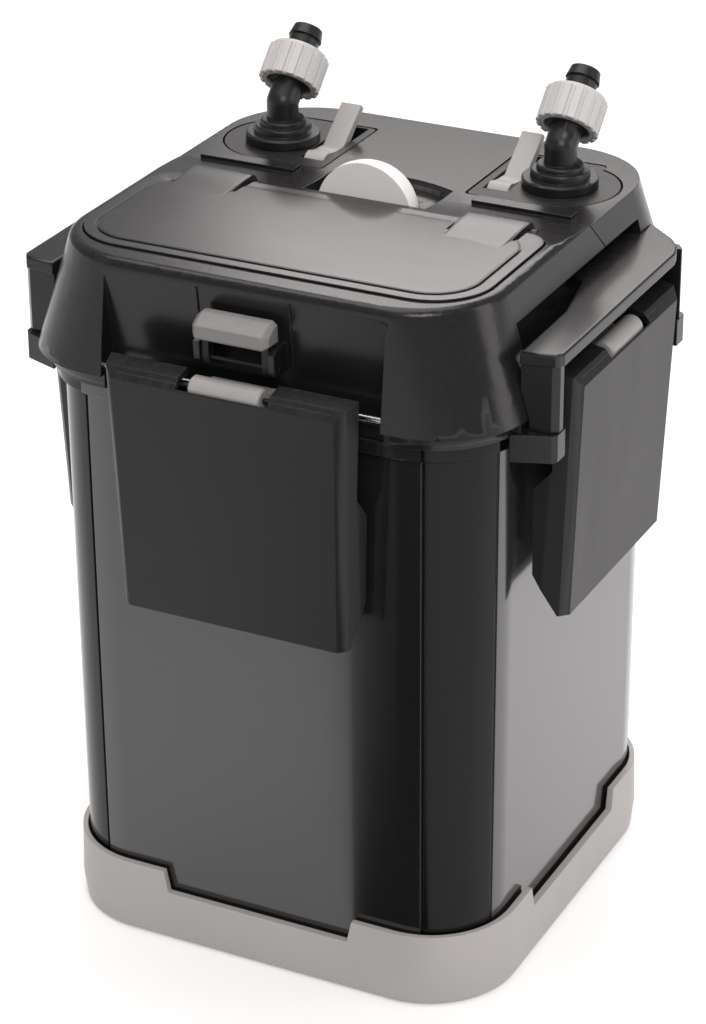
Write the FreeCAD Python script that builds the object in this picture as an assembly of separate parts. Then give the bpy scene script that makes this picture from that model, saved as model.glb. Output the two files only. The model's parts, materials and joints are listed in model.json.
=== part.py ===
import FreeCAD, Part
import math
import os

V = FreeCAD.Vector

# Frame: origin under the middle of the base, +X right, front towards -Y, +Z up. Millimetres.

# Base tray
base_half = 128.3
base_crease_half = 129.8
base_top_half = 129.0
base_corner_r = 50.0
base_inner_r = 45.5
base_bottom_z = 1.5
base_crease_z = 15.0
base_notch_z = 30.3
base_top_z = 43.0
base_wall = 3.4
base_floor = 4.0
base_notch_top = 56.7
base_notch_floor = 54.0
pad_r = 12.0
pad_inset = 84.0
pad_h = 4.0

# Canister
tank_bottom_z = 5.8
tank_bottom_half = 123.9
tank_top_half = 125.1
tank_r = 43.0
tank_wall = 3.0
tank_floor = 4.0
panel_half = 94.5
panel_raise = 0.9
panel_groove = 1.4
flange_half = 129.0
flange_r = 48.0
flange_z0 = 318.0
flange_z1 = 326.0

# Head housing
head_gap = 0.3
skirt_half = 136.0
head_r = 50.0
skirt_z = 334.0
lip_half = 132.0
lip_r = 51.0
top_half_x = 118.6
top_half_y = 128.0
top_z = 396.0
deck_z = 392.5
deck_start_y = 24.0
slope_start_y = -18.0
edge_round = 5.0
head_wall = 4.0
niche_half = 78.0
niche_top_z = 390.0
niche_top_v = 128.9
niche_low_v = 121.5
niche_ledge_v = 127.0
side_niche_v = 112.0
side_niche_top = 379.0
cavity_half_x = 107.0
cavity_y0 = -20.0
cavity_y1 = 116.5
cavity_top = 384.0

# Prefilter chamber and its cover
cover_half_x = 112.5
cover_front_y = -112.5
cover_rear_y = -10.0
cover_front_r = 32.0
cover_rear_r = 13.0
cover_gap = 0.9
cover_under_z = 391.5
cover_top_z = 397.0
cover_panel_z = 397.5
cover_seat_z = 390.5
cover_groove_in = 6.0
cover_groove_w = 1.1
cover_mid_half = 60.0
cover_mid_rear_y = -5.5
chamber_half_x = 98.0
chamber_y0 = -100.0
chamber_y1 = -25.0
chamber_floor_z = 340.0
hinge_y = -2.0
hinge_z = 393.0
knuckle_r = 6.0
knuckle_x0 = 62.2
knuckle_x1 = 96.8
knuckle_gap = 0.5
hinge_pin_r = 1.5
hinge_ear_r = 3.0
hinge_reach = 3.6
run_fit = 0.05

# Cover latch
latch_pin_v = 134.5
latch_pin_z = 357.0
latch_pin_r = 1.25
latch_arm_x0 = 14.8
latch_arm_x1 = 18.6
cheek_x0 = 19.0
cheek_x1 = 22.4
lug_half = 21.5
bolt_half = 7.0
bolt_z0 = 371.5
bolt_z1 = 375.0
bolt_gap = 0.5
catch_v = 106.5
catch_low_v = 104.2
catch_low_z = 365.5
catch_t = 2.6
catch_half = 9.0
bolt_end_v = catch_v + bolt_gap

# Side clips, measured outwards from the middle of the filter
clip_axis_v = 145.5
clip_axis_z = 344.0
clip_axle_r = 1.5
clip_top_z = clip_axis_z + 7.0
clip_bottom_z = clip_axis_z - 129.2
clip_wall = 2.6
clip_deep_v = clip_axis_v - 15.9
clip_notch_half = 25.5
barrel_r = 6.3
barrel_half = 19.8
rod_v = clip_axis_v - 14.0
rod_z = clip_axis_z - 5.0
rod_r = 1.75
hook_gap = 0.4
hook_u = 38.0
hook_w = 9.0

# Handles
bar_top_z = 370.0
bar_t = 6.5
bar_outer = 152.0
leg_front_y = -90.0
leg_rear_y = 79.0
leg_t = 9.0
leg_seat_z = 328.2
arm_low_z = 313.5

# Hose connectors
port_x = 82.0
port_y = 71.0
block_r = 32.0
block_inner_x = 42.6
block_front_y = 39.0
block_rear_y = 107.0
block_z0 = 370.0
block_top_z = 392.3
block_gap = 1.0
spigot_r = 12.0
spigot_z0 = 376.0
collar_r = (20.3, 15.8, 12.6)
collar_z = (398.0, 402.0, 405.0)
pipe_r = 8.7
bore_r = 6.0
bend_z = 414.0
lean_deg = 45.0
thread_r = 11.0
thread_s0 = 11.0
thread_s1 = 20.0
tail_s0 = 20.1
tail_foot_r = 11.5
tail_r = 8.4
tail_end_s = 44.5
nut_r = 17.0
nut_s0 = 10.0
nut_s1 = 31.0
nut_flutes = 16
flute_w = 2.3
flute_depth = 1.1
slot_x0 = 47.0
slot_x1 = 61.0
slot_y0 = 50.0
slot_y1 = 105.6
slot_z0 = 372.5
lever_x0 = 48.0
lever_x1 = 60.0
lever_axis_y = 58.0
lever_axis_z = 387.0
lever_hub_r = 6.5
lever_pin_r = 1.5

# Primer
primer_r = 27.5
primer_y = 7.0
primer_z = 385.7
primer_face_y = 4.8
primer_low_z = 366.5
primer_gap = 0.4
well_floor_z = 354.0
spring_r = 8.0
spring_wire = 0.7
spring_turns = 5
spring_steps = 14
spring_y = 17.0
dish_half = 35.5
dish_y1 = 38.0
dish_mid_y = 46.0
dish_z = 387.0

# Cable gland in the back
gland_x = -45.0
gland_z = 368.0
gland_seat_y = 127.2
gland_r = 5.1
gland_flange_r = 7.6
gland_bore_r = 2.6

# Underside, pump and rotor
plug_gap = 3.3
plug_half = tank_top_half - tank_wall - plug_gap
plug_r = tank_r - tank_wall - 2.0
plug_z0 = 306.0
plug_z1 = 326.2
plug_wall = 4.0
seal_gap = 0.5
seal_half = tank_top_half - tank_wall - seal_gap
seal_r = tank_r - tank_wall + 0.5
seal_seat = 1.6
seal_z0 = 312.0
seal_z1 = 317.0
pump_y = 40.0
pot_r = 34.0
pot_z1 = 348.0
rotor_r = 12.0
rotor_gap = 0.6
rotor_top_z = 345.0
volute_r = 36.0
volute_wall = 3.5
volute_z0 = 293.6
pump_cover_t = 3.0
eye_r = 11.0
shaft_r = 1.5
vane_r = 26.0
vane_t = 2.0
vane_z0 = 295.2
vane_z1 = 304.6
vanes = 6

# Media baskets and riser tube
basket_half = 111.0
basket_r = 30.0
basket_wall = 2.2
basket_floor = 2.6
basket_h = 88.0
basket_pitch = 89.0
basket_z0 = 14.0
riser_r = 10.5
riser_y = plug_half - riser_r - 5.5
riser_bore = 8.5
riser_z0 = 15.0
riser_z1 = 311.0
riser_notch = 15.0
riser_notch_y = 86.0
media_gap = 1.2


def rounded_wire(hx, hy, r, z, bow=0.0, cx=0.0, cy=0.0):
    """Closed rounded rectangle; bow lets the four sides bulge a little."""
    a, b, q = hx - bow - r, hy - bow - r, r * math.sqrt(0.5)
    corners = ((1, 1), (-1, 1), (-1, -1), (1, -1))
    edges = []
    for i, (sx, sy) in enumerate(corners):
        along_x = V(cx + sx * (a + r), cy + sy * b, z)
        along_y = V(cx + sx * a, cy + sy * (b + r), z)
        first, last = (along_x, along_y) if sx * sy > 0 else (along_y, along_x)
        middle = V(cx + sx * (a + q), cy + sy * (b + q), z)
        edges.append(Part.Arc(first, middle, last).toShape())
        nx, ny = corners[(i + 1) % 4]
        if sx * sy > 0:
            start, end = last, V(cx + nx * a, cy + ny * (b + r), z)
            bulge = V(cx, cy + sy * (b + r + bow), z)
        else:
            start, end = last, V(cx + nx * (a + r), cy + ny * b, z)
            bulge = V(cx + sx * (a + r + bow), cy, z)
        if bow:
            edges.append(Part.Arc(start, bulge, end).toShape())
        else:
            edges.append(Part.makeLine(start, end))
    return Part.Wire(edges)


def rounded_block(hx, hy, r, z0, z1, bow=0.0, cx=0.0, cy=0.0):
    face = Part.Face(rounded_wire(hx, hy, r, z0, bow, cx, cy))
    return face.extrude(V(0, 0, z1 - z0))


def drafted_block(bottom, top, r, z0, z1):
    """Rounded block whose walls lean; bottom and top are (half width, half depth)."""
    wires = []
    for (hx, hy), z in ((bottom, z0), (top, z1)):
        ring = [V(-hx, -hy, z), V(hx, -hy, z), V(hx, hy, z), V(-hx, hy, z), V(-hx, -hy, z)]
        wires.append(Part.makePolygon(ring))
    block = loft(wires)
    corners = [e for e in block.Edges if e.BoundBox.ZLength > (z1 - z0) / 2]
    return block.makeFillet(r, corners)


def cone_block(bottom, top, r, z0, z1):
    """Rounded square whose half width goes from bottom to top and whose corners are true cones."""
    a = bottom - r
    wires = []
    for h, z in ((bottom, z0), (top, z1)):
        ring = []
        for c, s in ((1, 0), (0, 1), (-1, 0), (0, -1)):
            for u, v in ((h, -a), (h, a), (a, a)):
                ring.append(V(u * c - v * s, u * s + v * c, z))
        wires.append(Part.makePolygon(ring + ring[:1]))
    corners = [Part.makeCone(r, r + top - bottom, z1 - z0, V(sx * a, sy * a, z0)) for sx in (-1, 1) for sy in (-1, 1)]
    return joined([loft(wires)] + corners)


def span_block(x0, x1, y0, y1, r, z0, z1):
    return rounded_block((x1 - x0) / 2, (y1 - y0) / 2, r, z0, z1, 0.0, (x0 + x1) / 2, (y0 + y1) / 2)


def box(x0, x1, y0, y1, z0, z1):
    return Part.makeBox(x1 - x0, y1 - y0, z1 - z0, V(x0, y0, z0))


def cylinder(r, start, end):
    way = end - start
    return Part.makeCylinder(r, way.Length, start, way)


def loft(wires):
    return Part.makeLoft(wires, True, True)


def side_prism(points, x0, x1):
    """Outline of (distance out from the middle, height) pairs, swept from x0 to x1 at the front."""
    wire = Part.makePolygon([V(x0, -v, z) for v, z in points + points[:1]])
    return Part.Face(wire).extrude(V(x1 - x0, 0, 0))


def plan_prism(points, z0, z1):
    wire = Part.makePolygon([V(x, y, z0) for x, y in points + points[:1]])
    return Part.Face(wire).extrude(V(0, 0, z1 - z0))


def turned(shape, quarter):
    """Front part carried to side 0 front, 1 right, 2 back, 3 left."""
    copy = shape.copy()
    copy.rotate(V(0, 0, 0), V(0, 0, 1), 90 * quarter)
    return copy


def mirrored(shape):
    return shape.mirror(V(0, 0, 0), V(1, 0, 0))


def joined(shapes):
    return shapes[0].fuse(shapes[1:]).removeSplitter()


def without(shape, cutters):
    return shape.cut(cutters)


def save(name, shape):
    if not shape.isValid():
        print("not valid:", name)
    shape.exportStep("parts/" + name + ".step")
    print(name, len(shape.Solids), round(shape.Volume / 1000, 1))


def save_group(name, shapes):
    save(name, Part.makeCompound(shapes))


# ---- Base ----

def make_base():
    lower = cone_block(base_half, base_crease_half, base_corner_r, base_bottom_z, base_crease_z)
    crease_r = base_corner_r + base_crease_half - base_half
    upper = cone_block(base_crease_half, base_top_half, crease_r, base_crease_z, base_top_z)
    inner_half = base_top_half - base_wall
    hollow = rounded_block(inner_half, inner_half, base_inner_r, base_bottom_z + base_floor, base_top_z + 1)
    notch = Part.Face(Part.makePolygon([
        V(-base_notch_top, -200, base_top_z + 1), V(-base_notch_top, -200, base_top_z),
        V(-base_notch_floor, -200, base_notch_z), V(base_notch_floor, -200, base_notch_z),
        V(base_notch_top, -200, base_top_z), V(base_notch_top, -200, base_top_z + 1),
        V(-base_notch_top, -200, base_top_z + 1)])).extrude(V(0, 400, 0))
    pads = [Part.makeCylinder(pad_r + 0.2, pad_h - base_bottom_z + 0.1, V(sx * pad_inset, sy * pad_inset, 0.0))
            for sx in (-1, 1) for sy in (-1, 1)]
    pads = [pad.fuse(Part.makeCylinder(pad_r + 0.2, pad_h, V(pad.CenterOfMass.x, pad.CenterOfMass.y, 0)))
            for pad in pads]
    return without(joined([lower, upper]), [hollow, notch, turned(notch, 1)] + pads)


def make_pads():
    return [Part.makeCylinder(pad_r, pad_h, V(sx * pad_inset, sy * pad_inset, 0.0))
            for sx in (-1, 1) for sy in (-1, 1)]


# ---- Canister ----

def make_tank():
    def block(inset, z0, z1):
        low, high = tank_bottom_half - inset, tank_top_half - inset
        return cone_block(low, high, tank_r - inset, z0, z1)

    body = block(0.0, tank_bottom_z, flange_z0 + 1)
    shaved = block(panel_raise, tank_bottom_z, flange_z0 + 1)
    grooves = []
    for quarter in range(4):
        for side in (-1, 1):
            strip = box(side * panel_half - panel_groove / 2, side * panel_half + panel_groove / 2,
                        -200, -90, tank_bottom_z - 1, flange_z0 - 3)
            grooves.append(turned(strip, quarter))
    rings = Part.makeCompound(grooves).cut(shaved)
    rim = rounded_block(flange_half, flange_half, flange_r, flange_z0, flange_z1)
    hollow = block(tank_wall, tank_bottom_z + tank_floor, flange_z1 + 1)
    return without(joined([without(body, [rings]), rim]), [hollow])


def make_basket(level):
    z0 = basket_z0 + level * basket_pitch
    shell = rounded_block(basket_half, basket_half, basket_r, z0, z0 + basket_h)
    rim = rounded_block(basket_half + 2, basket_half + 2, basket_r + 2, z0 + basket_h - 4, z0 + basket_h)
    room = rounded_block(basket_half - basket_wall, basket_half - basket_wall, basket_r - basket_wall,
                         z0 + basket_floor, z0 + basket_h + 1)
    notch = box(-riser_notch, riser_notch, riser_notch_y, 130, z0 - 1, z0 + basket_h + 1)
    notch_wall = box(-riser_notch - basket_wall, riser_notch + basket_wall,
                     riser_notch_y - basket_wall, basket_half, z0, z0 + basket_h)
    slots = [box(-84, 84, y - 3, y + 3, z0 - 1, z0 + basket_floor + 1) for y in range(-84, 85, 21)]
    shell = joined([shell, rim])
    wall = notch_wall.common(shell)
    return without(joined([without(shell, [room]), wall]), [notch] + slots)


def make_media(level, height):
    z0 = basket_z0 + level * basket_pitch + basket_floor + 0.2
    half = basket_half - basket_wall - media_gap
    block = rounded_block(half, half, basket_r - basket_wall - media_gap, z0, z0 + height)
    notch = box(-riser_notch - basket_wall - media_gap, riser_notch + basket_wall + media_gap,
                riser_notch_y - basket_wall - media_gap, 130, z0 - 1, z0 + height + 1)
    return without(block, [notch])


def make_riser():
    tube = cylinder(riser_r, V(0, riser_y, riser_z0), V(0, riser_y, riser_z1))
    bore = cylinder(riser_bore, V(0, riser_y, riser_z0 - 1), V(0, riser_y, riser_z1 + 1))
    windows = [box(-20, 20, riser_y - 3, riser_y + 3, riser_z0 - 1, riser_z0 + 9)]
    return without(tube, [bore] + windows)


# ---- Head ----

def block_outline(side, grow, z0, z1):
    """D-shaped outline of a connector block, grown all round."""
    disc = Part.makeCylinder(block_r + grow, z1 - z0, V(port_x, port_y, z0))
    flat = span_block(block_inner_x - grow, port_x, block_front_y - grow, block_rear_y + grow, 3.0, z0, z1)
    back = span_block(block_inner_x - grow, port_x + 12, port_y, block_rear_y + grow, 3.0, z0, z1)
    shape = joined([disc, flat, back])
    return shape if side > 0 else mirrored(shape)


def cover_outline(grow, z0, z1):
    """Rounded lid outline with wide front and tighter rear corners."""
    front = span_block(-cover_half_x - grow, cover_half_x + grow, cover_front_y - grow,
                       cover_rear_y + grow, cover_front_r + grow, z0, z1)
    rear = span_block(-cover_half_x - grow, cover_half_x + grow, cover_rear_y - 45,
                      cover_rear_y + grow, cover_rear_r + grow, z0, z1)
    return joined([front, rear])


def head_skin():
    outer = drafted_block((skirt_half, skirt_half), (top_half_x, top_half_y), head_r, skirt_z, top_z)
    top_edges = [e for e in outer.Edges if abs(e.BoundBox.ZMin - top_z) < 0.01]
    outer = outer.makeFillet(edge_round, top_edges)
    slope = Part.Face(Part.makePolygon([
        V(-200, slope_start_y, top_z), V(-200, deck_start_y, deck_z), V(-200, 200, deck_z),
        V(-200, 200, top_z + 5), V(-200, slope_start_y, top_z + 5),
        V(-200, slope_start_y, top_z)])).extrude(V(400, 0, 0))
    return without(outer, [slope])


def front_niche():
    return side_prism([(niche_top_v, niche_top_z), (150, niche_top_z), (150, 320), (niche_ledge_v, 320),
                       (niche_ledge_v, skirt_z), (niche_low_v, skirt_z)], -niche_half, niche_half)


def side_niche():
    return side_prism([(side_niche_v, skirt_z), (side_niche_v, side_niche_top - 7),
                       (side_niche_v + 14, side_niche_top), (150, side_niche_top), (150, 320),
                       (niche_ledge_v, 320), (niche_ledge_v, skirt_z)], -niche_half, niche_half)


def handle_arms():
    arms = []
    for y, tip, way in ((leg_front_y, leg_front_y - 8, 1), (leg_rear_y + 2, leg_rear_y + 8, -1)):
        near = y + way * (leg_t + 2)
        plan = [(129.6, tip), (149, y - way), (151, y + 2 * way), (151, near), (129.6, near)]
        arms.append(plan_prism(plan, arm_low_z, leg_seat_z - 0.2))
        low, high = min(tip, near), max(tip, near)
        arms.append(box(126, 134, low + 3, high - 1, flange_z1 + head_gap, skirt_z + 3))
    return arms


def make_head():
    lip = rounded_block(lip_half, lip_half, lip_r, flange_z1 + head_gap, skirt_z + 1)
    body = joined([head_skin(), lip])
    cut = [front_niche(), turned(front_niche(), 2), turned(side_niche(), 1), turned(side_niche(), 3)]

    # Connector pockets, lid seat, prefilter chamber and knuckle troughs
    for side in (-1, 1):
        cut.append(block_outline(side, block_gap, block_z0 - 0.3, top_z + 1))
        x0, x1 = sorted((side * (knuckle_x0 - 0.9), side * (knuckle_x1 + 0.9)))
        trough = cylinder(knuckle_r + knuckle_gap, V(x0, hinge_y, hinge_z), V(x1, hinge_y, hinge_z))
        cut.append(trough)
        cut.append(box(x0, x1, hinge_y - 12, hinge_y + knuckle_r + knuckle_gap, hinge_z, top_z + 1))
        cut.append(box(x0, x1, cover_rear_y - 6, hinge_y, cover_seat_z, top_z + 1))
    cut.append(cover_outline(cover_gap, cover_seat_z, top_z + 1))
    cut.append(box(-cover_mid_half - cover_gap, cover_mid_half + cover_gap, cover_rear_y - 2,
                   cover_mid_rear_y + 1.2, cover_seat_z, top_z + 1))
    cut.append(span_block(-chamber_half_x, chamber_half_x, chamber_y0, chamber_y1, 14,
                          chamber_floor_z, top_z))

    # Latch slot and the pocket where the lid's catch hangs
    cut.append(side_prism([(skirt_half, bolt_z0 - 1), (skirt_half, bolt_z1 + 1.2), (catch_v, bolt_z1 + 7.6),
                           (catch_v, bolt_z0 - 1)], -bolt_half - 1.5, bolt_half + 1.5))
    cut.append(box(-catch_half - 2.5, catch_half + 2.5, -catch_v - 1.2, chamber_y0 + 1, catch_low_z - 5, top_z))

    # Primer well and the dished recess around it
    well = Part.makeCylinder(primer_r + primer_gap, top_z - well_floor_z, V(0, primer_y, well_floor_z))
    cut.append(well.common(box(-50, 50, primer_face_y - primer_gap, 80, well_floor_z, top_z)))
    cut.append(primer_dish())

    # Hollow underside, with the walls of the pockets left standing
    cavity = span_block(-cavity_half_x, cavity_half_x, cavity_y0, cavity_y1, 22, flange_z1, cavity_top)
    keep = [block_outline(s, block_gap + 3, block_z0 - 3.5, top_z) for s in (-1, 1)]
    keep.append(Part.makeCylinder(primer_r + 3.5, top_z - well_floor_z + 3.5, V(0, primer_y, well_floor_z - 3.5)))
    keep.append(box(-104, 104, cavity_y0 - 5, hinge_y + knuckle_r + 4, hinge_z - knuckle_r - 5, top_z))
    keep.append(box(-40, 40, cavity_y0 - 5, dish_mid_y + 4, dish_z - 4, top_z))
    cut.append(without(cavity, keep))
    body = without(body, cut)

    # Deck ribs in front of the connectors, latch ears, handle arms
    extra = [box(52, 108.5, 25, 33.5, deck_z - 3, deck_z + 2.3).cut(box(108, 109, 20, 40, 380, 400))]
    extra.append(mirrored(extra[0]))
    for side in (-1, 1):
        x0, x1 = sorted((side * cheek_x0, side * cheek_x1))
        extra.append(side_prism([(120, 353.2), (136, 353.2), (138.6, 356), (139.2, 365.4), (136, 367.6),
                                 (120, 368)], x0, x1))
    for side in (-1, 1):
        for x0, x1 in ((knuckle_x0 - 4.4, knuckle_x0 - 0.9), (knuckle_x1 + 0.9, knuckle_x1 + 4.4)):
            extra.append(cylinder(hinge_ear_r, V(side * x0, hinge_y, hinge_z), V(side * x1, hinge_y, hinge_z)))
    arms = handle_arms()
    extra += arms + [mirrored(a) for a in arms]
    extra.append(cylinder(gland_flange_r + 1.2, V(gland_x, cavity_y1 + 2, gland_z),
                          V(gland_x, gland_seat_y, gland_z)))
    body = joined([body] + extra)

    holes = [cylinder(latch_pin_r + 0.02, V(-23, -latch_pin_v, latch_pin_z), V(23, -latch_pin_v, latch_pin_z))]
    for side in (-1, 1):
        holes.append(cylinder(hinge_pin_r + 0.02, V(side * (knuckle_x0 - hinge_reach), hinge_y, hinge_z),
                              V(side * (knuckle_x1 + hinge_reach), hinge_y, hinge_z)))
    for quarter in range(4):
        rod = cylinder(rod_r + 0.02, V(-82, -rod_v, rod_z), V(82, -rod_v, rod_z))
        holes.append(turned(rod, quarter))
    holes.append(cylinder(gland_r + 0.1, V(gland_x, cavity_y1 - 2, gland_z),
                          V(gland_x, gland_seat_y + 9, gland_z)))
    # The skirt seam that shows where each handle's inner flange begins
    for side in (-1, 1):
        x0, x1 = sorted((side * 112, side * 140))
        seam = Part.Face(Part.makePolygon([V(x0, 21, 394), V(x0, 22.2, 394), V(x0, 40.2, 370.5),
                                           V(x0, 39, 370.5), V(x0, 21, 394)])).extrude(V(x1 - x0, 0, 0))
        low, high = (skirt_half - 0.9, skirt_half - 0.9), (top_half_x - 0.9, top_half_y - 0.9)
        holes.append(without(seam, [drafted_block(low, high, head_r - 0.9, skirt_z, top_z)]))
    return without(body, holes)


def primer_dish():
    half, near = dish_half, primer_face_y - primer_gap
    edges = [Part.makeLine(V(-half, near, dish_z), V(half, near, dish_z)),
             Part.makeLine(V(half, near, dish_z), V(half, dish_y1, dish_z)),
             Part.Arc(V(half, dish_y1, dish_z), V(0, dish_mid_y, dish_z), V(-half, dish_y1, dish_z)).toShape(),
             Part.makeLine(V(-half, dish_y1, dish_z), V(-half, near, dish_z))]
    return Part.Face(Part.Wire(edges)).extrude(V(0, 0, top_z - dish_z))


# ---- Lid over the prefilter ----

def make_cover():
    plate = cover_outline(0.0, cover_under_z, cover_top_z)
    middle = box(-cover_mid_half, cover_mid_half, cover_rear_y - 3, cover_mid_rear_y, cover_under_z, cover_top_z)
    inset = cover_groove_in + cover_groove_w
    panel = span_block(-cover_half_x + inset, cover_half_x - inset, cover_front_y + inset,
                       cover_rear_y - 4, cover_front_r - inset, cover_top_z - 1, cover_panel_z)
    groove_out = span_block(-cover_half_x + cover_groove_in, cover_half_x - cover_groove_in,
                            cover_front_y + cover_groove_in, cover_rear_y - 3, cover_front_r - cover_groove_in,
                            cover_top_z - 0.9, cover_top_z + 2)
    groove_in = span_block(-cover_half_x + inset, cover_half_x - inset, cover_front_y + inset,
                           cover_rear_y + 20, cover_front_r - inset, cover_top_z - 2, cover_top_z + 3)
    body = without(joined([plate, middle]), [without(groove_out, [groove_in])])
    parts = [body, panel]
    for side in (-1, 1):
        x0, x1 = sorted((side * knuckle_x0, side * knuckle_x1))
        parts.append(cylinder(knuckle_r, V(x0, hinge_y, hinge_z), V(x1, hinge_y, hinge_z)))
        hood = [(31, cover_top_z - 2), (31, cover_top_z), (24, cover_top_z + 0.9), (14, cover_top_z + 1.8),
                (-hinge_y + 1, hinge_z + knuckle_r), (-hinge_y, hinge_z - 1.5), (12, cover_under_z)]
        parts.append(side_prism(hood, x0, x1))
    rim_out = span_block(-chamber_half_x + 1.2, chamber_half_x - 1.2, chamber_y0 + 1.6, chamber_y1 - 2, 12.8,
                         cover_under_z - 8, cover_under_z + 0.5)
    rim_in = span_block(-chamber_half_x + 3.8, chamber_half_x - 3.8, chamber_y0 + 4.2, chamber_y1 - 4.6, 10.2,
                        cover_under_z - 9, cover_under_z + 0.2)
    parts.append(without(rim_out, [rim_in]))
    turn_z = (bolt_z1 + 5.5 + cover_under_z) / 2
    tongue = side_prism([(catch_v, cover_under_z + 0.5), (catch_v, turn_z), (catch_low_v, catch_low_z),
                         (catch_low_v - catch_t, catch_low_z), (catch_v - catch_t, turn_z),
                         (catch_v - catch_t, cover_under_z + 0.5)], -catch_half, catch_half)
    window = box(-bolt_half - 0.6, bolt_half + 0.6, -catch_v - 1, -catch_v + 7, bolt_z0 - 0.4, bolt_z1 + 5)
    stiffener = box(-catch_half, catch_half, -catch_v + 1, chamber_y0 + 3,
                    cover_under_z - 4.5, cover_under_z + 0.5)
    parts += [without(tongue, [window]), stiffener]
    body = joined(parts)
    bore = cylinder(hinge_pin_r + run_fit, V(-101, hinge_y, hinge_z), V(101, hinge_y, hinge_z))
    clear = [box(sx - 0.8, sx + 0.8, cover_rear_y - 14, 12, cover_under_z - 1, top_z + 9)
             for sx in (-knuckle_x1 - 0.85, -knuckle_x0 + 0.85, knuckle_x0 - 0.85, knuckle_x1 + 0.85)]
    return without(body, [bore] + clear)


def make_cover_seal():
    out = span_block(-103.5, 103.5, -105.3, -19.6, 19.5, cover_seat_z, cover_under_z - 0.2)
    hole = span_block(-99.6, 99.6, -101.6, -23.4, 15.6, cover_seat_z - 1, cover_under_z)
    gap = box(-12.5, 12.5, -107, -99, cover_seat_z - 1, cover_under_z)
    return without(out, [hole, gap])


def make_hinge_pins():
    reach = hinge_reach - 0.1
    return [cylinder(hinge_pin_r, V(s * (knuckle_x0 - reach), hinge_y, hinge_z),
                     V(s * (knuckle_x1 + reach), hinge_y, hinge_z)) for s in (-1, 1)]


def make_latch():
    lug = side_prism([(130.6, 369.4), (144.4, 368.6), (146.0, 369.6), (146.0, 372.6), (137.4, 381.4),
                      (135.6, 382.2), (131.2, 382.2)], -lug_half, lug_half)
    ends = [side_prism([(120, 360), (150, 360), (150, 390), (120, 390)], -lug_half - 6, -lug_half),
            side_prism([(120, 360), (150, 360), (150, 390), (120, 390)], lug_half, lug_half + 6)]
    for piece, sign in zip(ends, (-1, 1)):
        piece.rotate(V(sign * lug_half, -130, 371), V(0, 1, 0), sign * -16)
    lug = without(lug, ends)
    arms = []
    for side in (-1, 1):
        x0, x1 = sorted((side * latch_arm_x0, side * latch_arm_x1))
        arms.append(side_prism([(131.8, 354.6), (136.6, 354.2), (137.4, 357.5), (137.4, 370.4), (131.4, 370.4)],
                               x0, x1))
    bolt = side_prism([(132, bolt_z0), (132, bolt_z1), (bolt_end_v, bolt_z1), (bolt_end_v, bolt_z0 + 1)],
                      -bolt_half, bolt_half)
    bore = cylinder(latch_pin_r + run_fit, V(-30, -latch_pin_v, latch_pin_z), V(30, -latch_pin_v, latch_pin_z))
    return without(joined([lug, bolt] + arms), [bore])


def make_latch_pin():
    return cylinder(latch_pin_r, V(-cheek_x1 + 0.1, -latch_pin_v, latch_pin_z),
                    V(cheek_x1 - 0.1, -latch_pin_v, latch_pin_z))


def make_prefilter_basket():
    out = span_block(-chamber_half_x + 1.5, chamber_half_x - 1.5, chamber_y0 + 6, chamber_y1 - 6, 10,
                     chamber_floor_z + 0.3, 380)
    room = span_block(-chamber_half_x + 3.5, chamber_half_x - 3.5, chamber_y0 + 8, chamber_y1 - 8, 8,
                      chamber_floor_z + 2.5, 381)
    slots = [box(x - 2.5, x + 2.5, chamber_y0 + 14, chamber_y1 - 14, chamber_floor_z - 1, chamber_floor_z + 4)
             for x in range(-80, 81, 16)]
    return without(out, [room] + slots)


def make_prefilter_sponge():
    return span_block(-chamber_half_x + 4.5, chamber_half_x - 4.5, chamber_y0 + 9, chamber_y1 - 9, 7,
                      chamber_floor_z + 2.8, 378)


# ---- Side clips ----

def from_axle(points):
    """Turns (out, up) offsets from the clip's axle into side_prism points."""
    return [(clip_axis_v + out, clip_axis_z + up) for out, up in points]


def clip_loft(inset):
    """Tapering plate with turned-back edges: (half width, distance out from the axle) per corner."""
    top = [(61.8, 8.4), (66.7, 4.0), (68.9, -6.0), (69.2 + inset, -25.5)]
    low = [(59.4, 2.3), (63.8, -1.9), (66.2, -11.9), (66.5 + inset, -25.5)]
    rings = []
    for corners, z in ((top, clip_top_z + 2), (low, clip_bottom_z - 1)):
        half = [(u - inset, clip_axis_v + out - (inset if out > -20 else 0)) for u, out in corners]
        ring = half + [(-u, v) for u, v in reversed(half)]
        rings.append(Part.makePolygon([V(u, -v, z) for u, v in ring + ring[:1]]))
    return loft(rings)


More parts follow.
